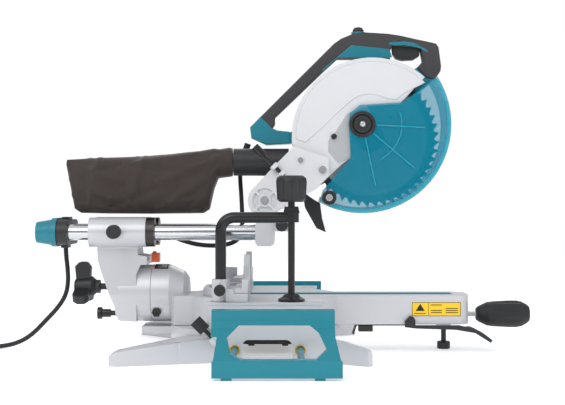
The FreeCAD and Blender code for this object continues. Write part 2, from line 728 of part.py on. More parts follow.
cap_x = size("cap_x", -319, "where the rear cap meets the cord clamp")
holder = (size("holder_back", -12, "rear face of the front pole holder"),
          size("holder_front", 17.6, "front face of the front pole holder"))
chop_x = size("chop_x", 2.5, "place of the chop pivot")
chop_z = size("chop_z", 233.8, "height of the chop pivot")
chop_pin_r = size("chop_pin_r", 6.3, "radius of the chop pivot's pin")
ear_r = size("ear_r", 26, "radius of the head arm's ears")
ear_y = (size("ear_in", 23, "inner face of the head arm's ears"),
         size("ear_out", 42, "outer face of the head arm's ears"))

poles = [cyl("X", (y, pole_z), pole_r, cap_x + 2, holder[1] - 4) for y in (-pole_y, pole_y)]
node("slide_poles", together(*poles))


def stadium_plate(half_w, half_h, z, low, high):
    """A long rounded plate across the saw."""
    r = as_size(half_h)
    ends = [cyl("X", (s * (as_size(half_w) - r), z), r, low, high) for s in (-1, 1)]
    middle = box((low, high), (r - half_w, as_size(half_w) - r), (z - r, as_size(z) + r))
    return fuse(*ends, middle)


def tapered(half_w, half_h, shrink, z, low, high):
    """A rounded plate whose rear end is smaller: two cones joined by a wedge."""
    r, small = as_size(half_h), as_size(half_h) - shrink
    ends = []
    for s in (-1, 1):
        cone = new("Part::Cone", "Cone")
        bind(cone, "Radius1", small)
        bind(cone, "Radius2", r)
        bind(cone, "Height", as_size(high) - low)
        ends.append(place(cone, (low, s * (as_size(half_w) - r), z), ALONG["X"]))
    side = [(low, z - small), (high, z - r), (high, as_size(z) + r), (low, as_size(z) + small)]
    middle = prism("XZ", side, r - half_w, as_size(half_w) - r)
    return fuse(*ends, middle)


cap_flange = stadium_plate(pole_y + 23, 22, pole_z, cap_x - 8, cap_x)
cap_taper = tapered(pole_y + 21, 20, 4, pole_z, cap_x - 32, cap_x - 7.99)
node("rear_cap", fuse(cap_flange, cap_taper))

clamp = stadium_plate(pole_y + 21, 19.5, pole_z, cap_x, cap_x + 17)
lead_r = size("lead_r", 3.5, "radius of the rubber leads")
clamp_bores = [cyl("X", (y, pole_z), pole_r, cap_x + 2, cap_x + 18) for y in (-pole_y, pole_y)]
clamp_ends = [box((cap_x + 1, cap_x + 12), (-12, 12), (pole_z - 25, pole_z - 18)),
              box((cap_x + 3, cap_x + 14), (-14, 14), (pole_z + 18, pole_z + 23.5))]
node("cord_clamp", cut(fuse(clamp, *clamp_ends), *clamp_bores,
                       cyl("X", (0, pole_z), lead_r + 0.2, cap_x + 10, cap_x + 18),
                       cyl("Z", (cap_x + 6, 0), lead_r + 0.3, pole_z - 26, pole_z - 14)))


def front_holder():
    """The casting that carries the chop pivot at the front of the poles."""
    x = holder
    block = prism("XZ", [(x[0], pole_z - 20.8), (x[1], pole_z - 20.8), (x[1], pole_z + 15.4),
                         (x[0], pole_z + 15.4)], -pole_y - 18, pole_y + 18,
                  {0: 7, 1: 7, 2: 7, 3: 4})
    post = prism("XZ", [(x[0] + 1, pole_z + 10), (x[1] - 1, pole_z + 10), (chop_x + 17, chop_z),
                        (chop_x - 17, chop_z)], -ear_y[0] + face_gap, ear_y[0] - face_gap)
    eye = cyl("Y", (chop_x, chop_z), 20, -ear_y[0] + face_gap, ear_y[0] - face_gap)
    lug = box((x[1] - 3, x[1] + 21), (-51.4, -ear_y[1] - 0.6), (pole_z + 2, pole_z + 20))
    sockets = [cyl("X", (y, pole_z), pole_r, x[0] - 1, x[1] - 4) for y in (-pole_y, pole_y)]
    return cut(fuse(block, post, eye, lug), *sockets,
               cyl("Y", (chop_x, chop_z), chop_pin_r + 0.01, -60, 60),
               cyl("Y", (x[1] + 11.4, pole_z + 11.6), 4 + run_gap, -60, -30))


node("front_holder", front_holder())
node("chop_pin", fuse(cyl("Y", (chop_x, chop_z), chop_pin_r, -ear_y[1] - 1, ear_y[1] + 3),
                      cyl("Y", (chop_x, chop_z), chop_pin_r + 2.6, ear_y[1] + face_gap, ear_y[1] + 4)))
node("head_lock_pin", fuse(
    cyl("Y", (holder[1] + 11.4, pole_z + 11.6), 4, -53, -ear_y[1] - 1),
    turned("Y", (holder[1] + 11.4, -66, pole_z + 11.6), [
        (0, 0), (0, 8.4), (1.2, 9.6), (12, 9.6), (14, 8), (14, 0)])))

# ---------------------------------------------------------------- head: case and arm

blade_r = size("blade_r", 108, "radius of the blade")
blade_x = size("blade_x", 169.5, "place of the blade's centre")
blade_z = size("blade_z", 331.5, "height of the blade's centre")
blade_t = size("blade_t", 1.6, "thickness of the blade's body")
case_r = size("case_r", 125, "outer radius of the blade case")
case_near = size("case_near", -29, "near face of the blade case")
case_far = size("case_far", 20, "far face of the blade case")
case_t = size("case_t", 4, "wall of the blade case")
guard_x = size("guard_x", 154, "place of the lower guard's pivot")
guard_z = size("guard_z", 352, "height of the lower guard's pivot")
guard_r = size("guard_r", 138, "outer radius of the lower guard")
guard_t = size("guard_t", 2.5, "wall of the lower guard")
guard_near = size("guard_near", -35.5, "near face of the lower guard")
hub_r = size("hub_r", 20.5, "radius of the lower guard's hub")
spindle_r = size("spindle_r", 9, "radius of the saw spindle")


def around(cx, cz, r, degrees):
    """A point on a circle, given by its angle from +X towards +Z."""
    a = math.radians(degrees)
    return (cx + as_size(r) * math.cos(a), cz + as_size(r) * math.sin(a))


def on_case(degrees, r=None):
    return around(blade_x, blade_z, r or case_r, degrees)


def case_outline():
    """The near silhouette of case and arm, anticlockwise from the arm's foot."""
    start, middle, end = on_case(49), on_case(116.5), on_case(184)
    return [
        (chop_x + 14, chop_z + 4), (92, 261), (121, 289), (guard_x - 19.5, guard_z - 53),
        (guard_x - hub_r + 1, guard_z - 8), (guard_x + 3, guard_z - hub_r - 1, hub_r + 12),
        (guard_x + hub_r + 1, guard_z + 3, hub_r + 12), (guard_x + 8, guard_z + hub_r + 8),
        (212, guard_z + hub_r + 11), start, middle + (case_r,), end + (case_r,),
        (48, 318), (16, 286), (chop_x - 21, chop_z + 15), (chop_x, chop_z + 4)]


stop_from = (-13, -46.8, 317)


def along_stop(distance):
    return (stop_from[0] + 0.7071 * distance, stop_from[1], stop_from[2] - 0.7071 * distance)


def blade_case():
    shell = prism("XZ", case_outline(), case_near, case_far)
    cavity = cyl("Y", (blade_x, blade_z), blade_r + 6, case_near + case_t, case_far - case_t - 1)
    mouth = prism("XZ", [(guard_x - 20, guard_z - 60), (330, 240), (330, 420), on_case(49, 160),
                         on_case(49, 60), (guard_x, guard_z + 40)], case_near + case_t, case_far - case_t - 1)
    gear = cyl("Y", (blade_x, blade_z), 34, case_far - case_t - 1, case_far + 26)
    web = prism("XZ", [(110, 270), (blade_x + 20, blade_z - 28), (blade_x + 26, blade_z + 60),
                       (130, 400)], case_far - case_t - 1, case_far)
    ears = []
    for s in (-1, 1):
        y = sorted((s * ear_y[0], s * ear_y[1]), key=number)
        ears.append(cyl("Y", (chop_x, chop_z), ear_r, *y))
        arm = prism("XZ", [(chop_x + 10, chop_z - 23), (70, 245), (83, 252), (102, 272), (102, 300),
                           (48, 318), (16, 286), (chop_x - 21, chop_z + 15)], *y)
        ears.append(arm)
    pivot_room = cyl("Y", (chop_x, chop_z), ear_r + 8, -ear_y[0], ear_y[0])
    root = prism("XZ", [(26, 228), (70, 245), (83, 252), (100, 300), (48, 318), (20, 290)],
                 -ear_y[0] - 1, ear_y[0] + 1)
    body = cut(fuse(shell, gear, web, root), pivot_room)
    lugs = [rod(along_stop(d), (1, 0, -1), 6.5, 7) for d in (40, 56)]
    body = cut(fuse(cut(body, cavity, mouth), *ears, *lugs), rod(stop_from, (1, 0, -1), 3 + run_gap, 70))
    recess = cut(cyl("Y", (chop_x, chop_z), 18.3, -ear_y[1] - 1, -ear_y[1] + 3),
                 cyl("Y", (chop_x, chop_z), 10.5, -ear_y[1] - 2, -ear_y[1] + 4),
                 *[turned_bar(a) for a in (45, 135)])
    return cut(body, recess,
               cyl("Y", (chop_x, chop_z), chop_pin_r + run_gap, -ear_y[1] - 1, ear_y[1] + 1),
               cyl("Y", (blade_x, blade_z), spindle_r + run_gap, case_near, case_far + 27),
               cyl("Y", (guard_x, guard_z), 5 + run_gap, case_near - 1, case_near + case_t + 1))


def turned_bar(degrees):
    """A bar across the ear's recess, left standing as two of its four spokes."""
    spin = FreeCAD.Rotation(V(0, -1, 0), degrees)
    bar = new("Part::Box", "Box")
    bar.Length, bar.Width, bar.Height = 40, 6, 4
    corner = spin.multVec(V(-20, 0, -2))
    place(bar, (chop_x + corner.x, -ear_y[1] - 2, chop_z + corner.z), spin)
    return bar


node("blade_case", blade_case())

# ---------------------------------------------------------------- motor, handle and switch

motor = (size("motor_x", 158, "place of the motor's axis"),
         size("motor_z", 362, "height of the motor's axis"))
motor_r = size("motor_r", 44, "radius of the motor housing")
motor_end = size("motor_end", 178, "outer end of the motor housing")
handle_y = (size("handle_near", 22, "near side of the handle"),
            size("handle_far", 50, "far side of the handle"))


def handle():
    """The rubbered D-handle: rear strut, top bar and the front end that meets the case."""
    outer = [(-22, 351), (-8, 342), (10, 345), (18, 356), (18, 367), (67, 414), (95, 441), (118, 462),
             (198, 462), (206, 482), (252, 478), (256, 458), (246, 447), (262, 430), (275, 429),
             (283, 441), (284, 449), (280, 479), (276, 485), (268, 487), (244, 492), (218, 498),
             (197, 501), (162, 503), (141, 500), (124, 493), (112.5, 485)]
    return prism("XZ", outer, *handle_y)


def motor_housing():
    """The moulding behind the case: motor barrel, the handle's root and its front tie."""
    barrel = turned("Y", (motor[0], handle_y[1] + 2, motor[1]), [
        (0, 0), (0, motor_r + 4), (18, motor_r + 4), (22, motor_r), (motor_end - 66, motor_r),
        (motor_end - 54, motor_r - 6), (motor_end - 52, motor_r - 16), (motor_end - 52, 0)])
    neck = prism("XZ", [(100, 330), (190, 320), (215, 350), (205, 385), (150, 402), (112, 385)],
                 case_far + 26.4, handle_y[1] + 2.01)
    side = [(-20, 334), (4, 323), (43, 325), (60, 335), (110, 330), (130, 350), (128, 392), (100, 388),
            (70, 352), (41, 343), (21, 344), (9.8, 344.6), (-8, 341.7), (-21, 349.8)]
    root = prism("XZ", side, handle_y[0], handle_y[1])
    tie = prism("XZ", [(190, 384), (232, 392), (275, 428.6), (262, 429.6), (245, 446.6), (180, 404)],
                handle_y[0] + 2, handle_y[1] - 2)
    body = fuse(barrel, neck, root, tie)
    gear = cyl("Y", (blade_x, blade_z), 34.2, 0, case_far + 26.2)
    return cut(body, gear)


grip_loop = handle()
lock_at = (152, (as_size(handle_y[0]) + handle_y[1]) * 0.5)
button_r = size("button_r", 4, "radius of the lock-off button's stem")
stem_hole = cyl("Z", lock_at, button_r + run_gap, 484, 520)
trigger_pin = (216, 487)
pin_hole = cyl("Y", trigger_pin, 2 + run_gap, handle_y[0] - 1, handle_y[1] + 1)
trigger_room = prism("XZ", [(204, 482.5), (212, 494), (244, 488), (254, 480), (254, 470), (204, 470)],
                     handle_y[0] + 6, handle_y[1] - 6)
node("handle", cut(grip_loop, stem_hole, trigger_room, pin_hole))
node("motor_housing", motor_housing())
trigger_side = [(206, 483), (210, 489), (222, 489), (240, 484.5), (250, 476), (250, 466), (240, 460),
                (222, 459), (212, 462), (207, 470)]
trigger = prism("XZ", trigger_side, handle_y[0] + 7, handle_y[1] - 7, {4: 3, 5: 3, 8: 4})
node("trigger", fuse(trigger, cyl("Y", trigger_pin, 2, handle_y[0] + 1, handle_y[1] - 1)))
node("lock_off_button", turned("Z", (lock_at[0], lock_at[1], 488), [
    (0, 0), (0, button_r), (17.5, button_r), (17.5, 8.8), (20.5, 8.8), (24, 6.4), (25.5, 2), (25.5, 0)]))
collar = cut(cyl("Z", lock_at, 11, 499, 505), cyl("Z", lock_at, 9.2, 498, 506),
             prism("XZ", [(124, 493), (141, 500), (162, 503), (197, 501), (197, 480), (124, 480)],
                   *handle_y))
node("button_collar", collar)

# ---------------------------------------------------------------- blade, guard, roller, screws

teeth = 48


def blade():
    """A toothed disc with its bore; each tooth is a raked face, a tip land and a sloping back."""
    r, gullet, bore = blade_r.value, blade_r.value - 7.5, spindle_r.value
    points = []
    for k in range(teeth):
        for share, radius in ((0, gullet), (0.16, gullet + 0.6), (0.3, r), (0.4, r - 0.4), (0.78, gullet + 2)):
            a = -2 * math.pi * (k + share) / teeth
            points.append(V(radius * math.cos(a), 0, radius * math.sin(a)))
    rim = Part.Face(Part.makePolygon(points + points[:1]))
    disc = rim.extrude(V(0, blade_t.value, 0))
    disc = disc.cut(Part.makeCylinder(bore, blade_t.value * 3, V(0, -blade_t.value, 0), V(0, 1, 0)))
    obj = new("Part::Feature", "Blade")
    obj.Shape = disc
    place(obj, (blade_x, blade_t * -0.5, blade_z))
    return obj


node("blade", blade())
flange_r = size("flange_r", 21, "radius of the blade's flanges")
half_t = blade_t * 0.5
node("blade_spindle", fuse(
    cyl("Y", (blade_x, blade_z), spindle_r, -10, case_far + 24),
    cyl("Y", (blade_x, blade_z), flange_r, half_t, half_t + 5)))
node("blade_bolt", cut(
    turned("Y", (blade_x, -18, blade_z), [(0, 0), (0, 7.5), (6, 7.5), (6, 12), (9, 12), (9, flange_r),
                                          (-half_t + 18, flange_r), (-half_t + 18, 0)]),
    cyl("Y", (blade_x, blade_z), spindle_r, -10.01, 0)))


def lower_guard():
    """A near wall and a rim round the blade, open at the far side but for a narrow lip."""
    def at(degrees, r):
        return around(guard_x, guard_z, r, degrees)

    lip_y, lip_t = 20.2, 1.4
    window = [at(33.6, 170), (217.5, 386.5), (150, 382), (135, 370), (132.5, 352), (136, 300), (92, 249),
              at(-118, 150), at(-100, 230), at(-70, 230), at(-35, 230), at(0, 230)]
    drum = common(cyl("Y", (guard_x, guard_z), guard_r, guard_near, lip_y + lip_t),
                  prism("XZ", window, guard_near - 1, lip_y + 5))
    body = cut(drum, cyl("Y", (guard_x, guard_z), guard_r - guard_t, guard_near + guard_t, lip_y),
               cyl("Y", (guard_x, guard_z), guard_r - 9, lip_y - 1, lip_y + 4))
    hub = cyl("Y", (guard_x, guard_z), hub_r, guard_near, guard_near + guard_t)
    return cut(fuse(body, hub), cyl("Y", (guard_x, guard_z), 5 + run_gap, guard_near - 1, guard_near + 5),
               cyl("Y", roller, 3, guard_near - 1, guard_near + 5))


roller = around(guard_x, guard_z, 125, -114.5)
node("lower_guard", lower_guard())
node("guard_bolt", fuse(
    cyl("Y", (guard_x, guard_z), 5, guard_near - 1, case_near + case_t),
    turned("Y", (guard_x, guard_near - 6, guard_z), [
        (0, 0), (0, 6), (2.5, 6), (2.5, 13), (5.6, 15), (5.6, 0)])))
node("guard_roller", cut(cyl("Y", roller, 11, guard_near - 9.5, guard_near - 0.5),
                         cyl("Y", roller, 3 + run_gap, guard_near - 10, guard_near)))
node("roller_pin", fuse(cyl("Y", roller, 3, guard_near - 10, guard_near),
                        cyl("Y", roller, 5.5, guard_near - 12.5, guard_near - 9.7)))

node("depth_screw", fuse(
    rod(stop_from, (1, 0, -1), 6.2, 20), rod(stop_from, (1, 0, -1), 3, 64)))
node("case_screws", together(
    cyl("Y", (92, 281), 6, -ear_y[1] - 3.4, -ear_y[1]),
    cyl("Y", (110, 333), 5, case_near - 4, case_near),
    cyl("Y", (58, 296), 4.4, -ear_y[1] - 3, -ear_y[1])))

# ---------------------------------------------------------------- dust outlet and bag

dust_y = size("dust_y", 20, "place of the dust outlet across the saw")
nozzle_r = size("nozzle_r", 21.75, "radius of the dust outlet")
nozzle_z = size("nozzle_z", 295, "height of the dust outlet")
nozzle = cyl("X", (dust_y, nozzle_z), nozzle_r, -48, 40)
nozzle_bore = cyl("X", (dust_y, nozzle_z), nozzle_r - 3, -49, -10)
arm_side = prism("XZ", [(chop_x + 10, chop_z - 23), (92, 250), (92, 318), (48, 318), (16, 286),
                        (chop_x - 21, chop_z + 15)], -60, 60)
node("dust_nozzle", cut(nozzle, nozzle_bore, arm_side))
bag_side = [(-316, 296), (-313, 287), (-303, 256), (-301, 219), (-296, 211), (-190, 210.5),
            (-87, 211.5), (-81, 250), (-73, 270), (-61, 271.5), (-49.2, 273.5), (-49.2, 314), (-53, 320),
            (-70, 315), (-80, 318), (-104, 313), (-190, 304), (-304, 301)]
node("dust_bag", prism("XZ", bag_side, dust_y - 36, dust_y + 36))
flap = prism("XZ", [(62, 244.5), (66, 222), (84, 190), (98, 184), (92, 206), (88, 236), (93, 257), (82, 250.5),
                    (70, 244.6)], -20, 20)
node("dust_flap", cut(flap, nodes["blade_case"], cyl("Y", (guard_x, guard_z), guard_r + 0.6, -60, 60)))
relief = (-26, 47, 326)
node("strain_relief", rod(relief, (-0.35, 0, -1), 5.2, 20))

# ---------------------------------------------------------------- extension wings

wing_rear = size("wing_rear", -65, "rear end of a wing's deck")
wing_front = size("wing_front", 100, "front end of a wing's deck")
wing_in = size("wing_in", 262, "inner edge of a wing's deck, pulled out")
wing_out = size("wing_out", 281, "outer edge of a wing's deck, pulled out")
wing_foot_y = size("wing_foot_y", 330, "outer face of a wing's bottom bar")
bar_t = size("bar_t", 14, "thickness of a wing's bottom bar")
deck_low = table_z - 20


def wing(sign):
    """One wing: deck, two splayed legs, bottom bar, small feet, and its two guide rods."""
    def across(a, b):
        return sorted((sign * as_size(a), sign * as_size(b)), key=number)

    window = (wing_rear + 24, wing_front - 14)
    front = prism("XZ", [(wing_rear, deck_low - 14), (-57, deck_low - 14), (-60, 26), (-62, 24), (-62, 3.5),
                         (108, 3.5), (108, 24), (106, 26), (wing_front, deck_low - 14),
                         (wing_front, table_z), (wing_rear, table_z)], *across(wing_in - 5, wing_foot_y + 2))
    hole = prism("XZ", [(-39, 34), (-24, 27), (74, 27), (88, 38), (78, 58), (66, deck_low), (-28, deck_low),
                        (-44, 52)], *across(wing_in - 10, wing_foot_y + 10))
    section = [(wing_in, table_z), (wing_in, deck_low + 4), (wing_in + 6, deck_low - 6), (wing_foot_y - bar_t, 25),
               (wing_foot_y - bar_t, 3.5), (wing_foot_y, 3.5), (wing_foot_y, 26), (wing_out + 3, deck_low - 3),
               (wing_out, deck_low + 6), (wing_out, table_z)]
    points = [(sign * as_size(y), z) for y, z in section]
    if sign > 0:
        points.reverse()
    body = cut(common(front, prism("YZ", points, wing_rear - 60, wing_front + 60)), hole)
    bar_in = wing_foot_y - bar_t
    feet = [box((x, x + 14), across(bar_in + 2, wing_foot_y - 2), (0, 3.6)) for x in (-50, 72)]
    lugs = [cyl("Y", (x, wing_rod_z), wing_rod_r + 4, *across(bar_in - 8, bar_in + 1)) for x in wing_rod_x]
    reach = table_half - rod_in
    rods = [cyl("Y", (x, wing_rod_z), wing_rod_r, *across(reach, bar_in + 3)) for x in wing_rod_x]
    return fuse(body, *feet, *lugs, *rods)


rod_in = size("rod_in", 58, "length of a guide rod inside the base, pulled out")
node("wing_left", wing(-1))
node("wing_right", wing(1))


def wing_screw(sign):
    """A rubber-headed screw on the base that clamps a wing's rear rod."""
    start = (screw_from[0], sign * screw_side, screw_from[1])
    return fuse(rod(start, (1, 0, -1), 9, 20), rod(start, (1, 0, -1), 3, 46))


node("wing_screw_left", wing_screw(-1))
node("wing_screw_right", wing_screw(1))

# ---------------------------------------------------------------- work clamp

arm_z = size("clamp_arm_z", 209, "height of the clamp's horizontal arm")
clamp_reach = size("clamp_reach", 103, "distance of the clamp's spindle from its rod")
plate_r = size("plate_r", 19.5, "radius of the clamp's foot plate")
spindle_x = socket_x + clamp_reach
clamp_y = socket_y[0]


def clamp_rod():
    """The bent rod: upright in the fence's socket, over to an eye that holds the spindle's nut."""
    x, y = socket_x.value, clamp_y.value
    path = [V(x, y, fence_low.value + 1), V(x, y, arm_z.value), V(spindle_x.value - 6, y, arm_z.value)]
    bar = new("Part::Feature", "BentRod")
    bar.Shape = round_bar(path, rod_r.value, [20])
    eye = cyl("Z", (spindle_x, clamp_y), 11, arm_z - 7, arm_z + 7)
    horn = prism("XZ", [(spindle_x - 12, arm_z + 6), (spindle_x + 12, arm_z + 6), (spindle_x + 10, arm_z + 16),
                        (spindle_x - 10, arm_z + 16)], clamp_y - 7, clamp_y + 7)
    return cut(fuse(bar, eye, horn),
               cyl("Z", (spindle_x, clamp_y), 5 + run_gap, arm_z - 8, arm_z + 18))


node("clamp_rod", clamp_rod())
node("clamp_spindle", cyl("Z", (spindle_x, clamp_y), 5, table_z + 6, arm_z + 22.5))
node("clamp_plate", cut(
    turned("Z", (spindle_x, clamp_y, table_z + 0.2), [
        (0, 0), (0, plate_r), (3.4, plate_r), (6, 14), (11, 9), (11, 0)]),
    cyl("Z", (spindle_x, clamp_y), 5, table_z + 6, table_z + 20)))


def clamp_knob():
    """The spindle's fluted knob, with a rounded top."""
    base = arm_z + 22.5
    body = turned("Z", (spindle_x, clamp_y, base), [
        (0, 0), (0, 17), (4, 21), (30, 22.5), (35, 21.5), (38.5, 17), (38.5, 0)])
    flutes = []
    for k in range(10):
        a = 2 * math.pi * (k + 0.5) / 10
        flutes.append(cyl("Z", (spindle_x + 25.4 * math.cos(a), clamp_y + 25.4 * math.sin(a)), 4.6,
                          base - 1, base + 31))
    return cut(body, *flutes)


node("clamp_knob", clamp_knob())
node("clamp_screw", fuse(
    cyl("Y", (socket_x, screw_z), 3, clamp_y - 26, clamp_y - rod_r - 0.5),
    turned("Y", (socket_x, clamp_y - 36, screw_z), [(0, 0), (0, 7.4), (1, 8.2), (10, 8.2), (11, 7), (11, 0)])))

# ---------------------------------------------------------------- leads

head_route = [(-32.7, 47, 306.8), (-38, 48, 290), (-39, 48, 270), (-37, 41, 248), (-35, 23, 222),
              (-33, 5, 194), (-38, 0, 172), (-60, 0, 162.5), (-100, 0, 162.5), (-134, 0, 172),
              (-158, 0, 184.4)]


def lead(points, radius):
    """A rubber lead along points chosen by hand, each corner an arc as large as its runs allow."""
    route = [V(*p) for p in points]
    bends = []
    for a, b, c in zip(route, route[1:], route[2:]):
        turn = (b - a).getAngle(c - b)
        bends.append(0.45 * min((b - a).Length, (c - b).Length) / math.tan(turn / 2))
    print("lead bend radii", [round(r, 1) for r in bends])
    obj = new("Part::Feature", "Lead")
    obj.Shape = round_bar(route, radius.value, bends)
    return obj


head_lead = lead(head_route + [(cap_x.value + 10, 0, pole_z.value)], lead_r)
node("head_lead", head_lead)

cord_route = [(-313, 0, 166), (-312.5, 0, 149), (-310, 0, 128), (-309, 1, 106), (-313, 3, 84),
              (-326, 5, 64), (-346, 6, 43), (-366, 4, 22), (-386, 0, 9.5), (-409, -6, 4.2),
              (-435, -14, 3.6), (-462, -21, 3.6), (-488, -25.6, 3.6)]
node("mains_cord", lead(cord_route, lead_r))
coil_at = (-490, 22)
coil_r = size("coil_r", 40.5, "middle radius of the coiled cord")
node("cord_coil", cut(cyl("Z", coil_at, coil_r + 11, 0.1, 17), cyl("Z", coil_at, coil_r - 11, 0, 18)))
plug_r = size("plug_r", 17, "radius of the plug's body")
plug_y = coil_at[1] + coil_r + 11 + plug_r + face_gap
pins = [cyl("X", (plug_y + y, plug_r), 2.4, -464, -444) for y in (-9.5, 9.5)]
node("plug", fuse(turned("X", (-491, plug_y, plug_r), [
    (-22, 0), (-22, 4.6), (-2, 6), (4, 10), (12, plug_r), (28, plug_r), (28, 0)]), *pins))

# ---------------------------------------------------------------- build, test and write

doc.recompute()
failed = [obj.Name for obj in doc.Objects if {"Invalid", "Error"} & set(obj.State)]
if failed:
    raise RuntimeError(f"objects that did not build: {failed}")
for name, obj in nodes.items():
    shape = obj.Shape
    if shape.isNull() or not shape.isValid() or not shape.Solids:
        raise RuntimeError(f"{name} has no valid solid")
    shape.exportStep(f"parts/{name}.step")
    print(name, len(shape.Solids), round(shape.Volume / 1000, 1))
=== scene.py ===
import json
import math

import bmesh
import bpy
import numpy as np
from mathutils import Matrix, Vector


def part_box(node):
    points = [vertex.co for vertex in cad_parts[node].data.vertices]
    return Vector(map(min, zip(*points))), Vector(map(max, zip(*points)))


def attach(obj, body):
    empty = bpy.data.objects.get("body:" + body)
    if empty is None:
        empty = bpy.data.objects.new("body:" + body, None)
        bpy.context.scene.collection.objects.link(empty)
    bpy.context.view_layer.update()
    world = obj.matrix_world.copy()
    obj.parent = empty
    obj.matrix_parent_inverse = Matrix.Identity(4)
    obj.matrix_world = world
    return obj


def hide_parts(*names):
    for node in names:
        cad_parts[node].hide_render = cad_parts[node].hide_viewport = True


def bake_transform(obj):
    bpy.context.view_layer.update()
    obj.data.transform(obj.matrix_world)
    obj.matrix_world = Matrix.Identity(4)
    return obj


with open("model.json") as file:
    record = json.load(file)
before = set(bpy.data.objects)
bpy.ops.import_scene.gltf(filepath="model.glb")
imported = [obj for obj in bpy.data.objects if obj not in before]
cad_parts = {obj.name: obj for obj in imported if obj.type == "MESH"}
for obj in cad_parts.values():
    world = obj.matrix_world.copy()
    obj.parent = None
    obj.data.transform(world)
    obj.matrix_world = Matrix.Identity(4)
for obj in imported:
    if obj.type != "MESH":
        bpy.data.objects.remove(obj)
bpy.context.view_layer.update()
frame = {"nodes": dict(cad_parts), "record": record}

nodes = frame["nodes"]
scene = bpy.context.scene


# ------------------------------------------------------------------ camera, lights and world

eye = bpy.data.cameras.new("eye")
eye.lens = 72.5
eye.sensor_width = 36.0
eye.shift_y = -1.5 / 565
eye_object = bpy.data.objects.new("eye", eye)
eye_object.location = (0.030, -1.800, 0.233)
eye_object.rotation_euler = (math.radians(90), 0, 0)
scene.collection.objects.link(eye_object)
scene.camera = eye_object
scene.view_settings.view_transform = "Standard"


def linear(code):
    """An sRGB hex colour as linear red, green, blue and a full alpha."""
    parts = [int(code[i:i + 2], 16) / 255 for i in (1, 3, 5)]
    return [p / 12.92 if p <= 0.04045 else ((p + 0.055) / 1.055) ** 2.4 for p in parts] + [1.0]


def add(tree, kind, inputs=None, links=None, **settings):
    """One node, with its settings, its socket values, and its links given as {socket: (node, output)}."""
    new = tree.nodes.new(kind)
    for key, value in settings.items():
        setattr(new, key, value)
    for key, value in (inputs or {}).items():
        new.inputs[key].default_value = value
    for key, (maker, output) in (links or {}).items():
        tree.links.new(maker.outputs[output], new.inputs[key])
    return new


def lamp(name, size, power, place, aim):
    """A soft square lamp at a place, turned to a point."""
    data = bpy.data.lights.new(name, "AREA")
    data.size = size
    data.energy = power
    obj = bpy.data.objects.new(name, data)
    obj.location = place
    way = np.array(aim, float) - np.array(place, float)
    pitch = math.acos(-way[2] / np.linalg.norm(way))
    obj.rotation_euler = (pitch, 0, math.atan2(way[1], way[0]) - math.pi / 2)
    scene.collection.objects.link(obj)


lamp("key", 1.4, 17, (-0.9, -1.6, 1.7), (0.0, 0.0, 0.2))
lamp("fill", 1.2, 5, (1.5, -1.3, 0.9), (0.1, 0.0, 0.2))
lamp("back", 1.2, 9, (0.4, 1.8, 1.6), (0.0, 0.0, 0.25))

world = bpy.data.worlds.new("studio")
scene.world = world
world.use_nodes = True
sky = world.node_tree
sky.nodes.clear()
way = add(sky, "ShaderNodeTexCoord")
height = add(sky, "ShaderNodeSeparateXYZ", links={"Vector": (way, "Generated")})
room = add(sky, "ShaderNodeValToRGB", links={"Fac": (height, "Z")})
room.color_ramp.elements[0].color = (0.11, 0.113, 0.12, 1)
room.color_ramp.elements[1].color = (0.95, 0.96, 0.98, 1)
room.color_ramp.elements[1].position = 0.55
seen = add(sky, "ShaderNodeLightPath")
around = add(sky, "ShaderNodeBackground", {"Strength": 0.8}, {"Color": (room, "Color")})
plain = add(sky, "ShaderNodeBackground", {"Strength": 1.0, "Color": (1, 1, 1, 1)})
both = add(sky, "ShaderNodeMixShader", links={0: (seen, "Is Camera Ray"), 1: (around, 0), 2: (plain, 0)})
add(sky, "ShaderNodeOutputWorld", links={"Surface": (both, 0)})


# ------------------------------------------------------------------ surfaces from numbers

def grid_mesh(name, points, closed_u=False, closed_v=False, caps=False, smooth=True):
    """A surface through a grid of points, rows by columns, each four neighbours one face.

    closed_u joins the last row to the first, closed_v the last column to the first,
    and caps closes the first and last row with a flat face.
    """
    rows, columns, _ = points.shape
    index = np.arange(rows * columns).reshape(rows, columns)
    if closed_u:
        index = np.vstack([index, index[:1]])
    if closed_v:
        index = np.hstack([index, index[:, :1]])
    quads = np.stack([index[:-1, :-1], index[:-1, 1:], index[1:, 1:], index[1:, :-1]], axis=-1)
    faces = quads.reshape(-1, 4).tolist()
    if caps:
        ends = np.arange(rows * columns).reshape(rows, columns)
        faces += [ends[0][::-1].tolist(), ends[-1].tolist()]
    mesh = bpy.data.meshes.new(name)
    mesh.from_pydata(points.reshape(-1, 3).tolist(), [], faces)
    mesh.polygons.foreach_set("use_smooth", [smooth] * len(mesh.polygons))
    if caps:
        work = bmesh.new()
        work.from_mesh(mesh)
        if work.calc_volume(signed=True) < 0:
            bmesh.ops.reverse_faces(work, faces=work.faces)
            work.to_mesh(mesh)
        work.free()
    mesh.update()
    piece = bpy.data.objects.new(name, mesh)
    scene.collection.objects.link(piece)
    return piece


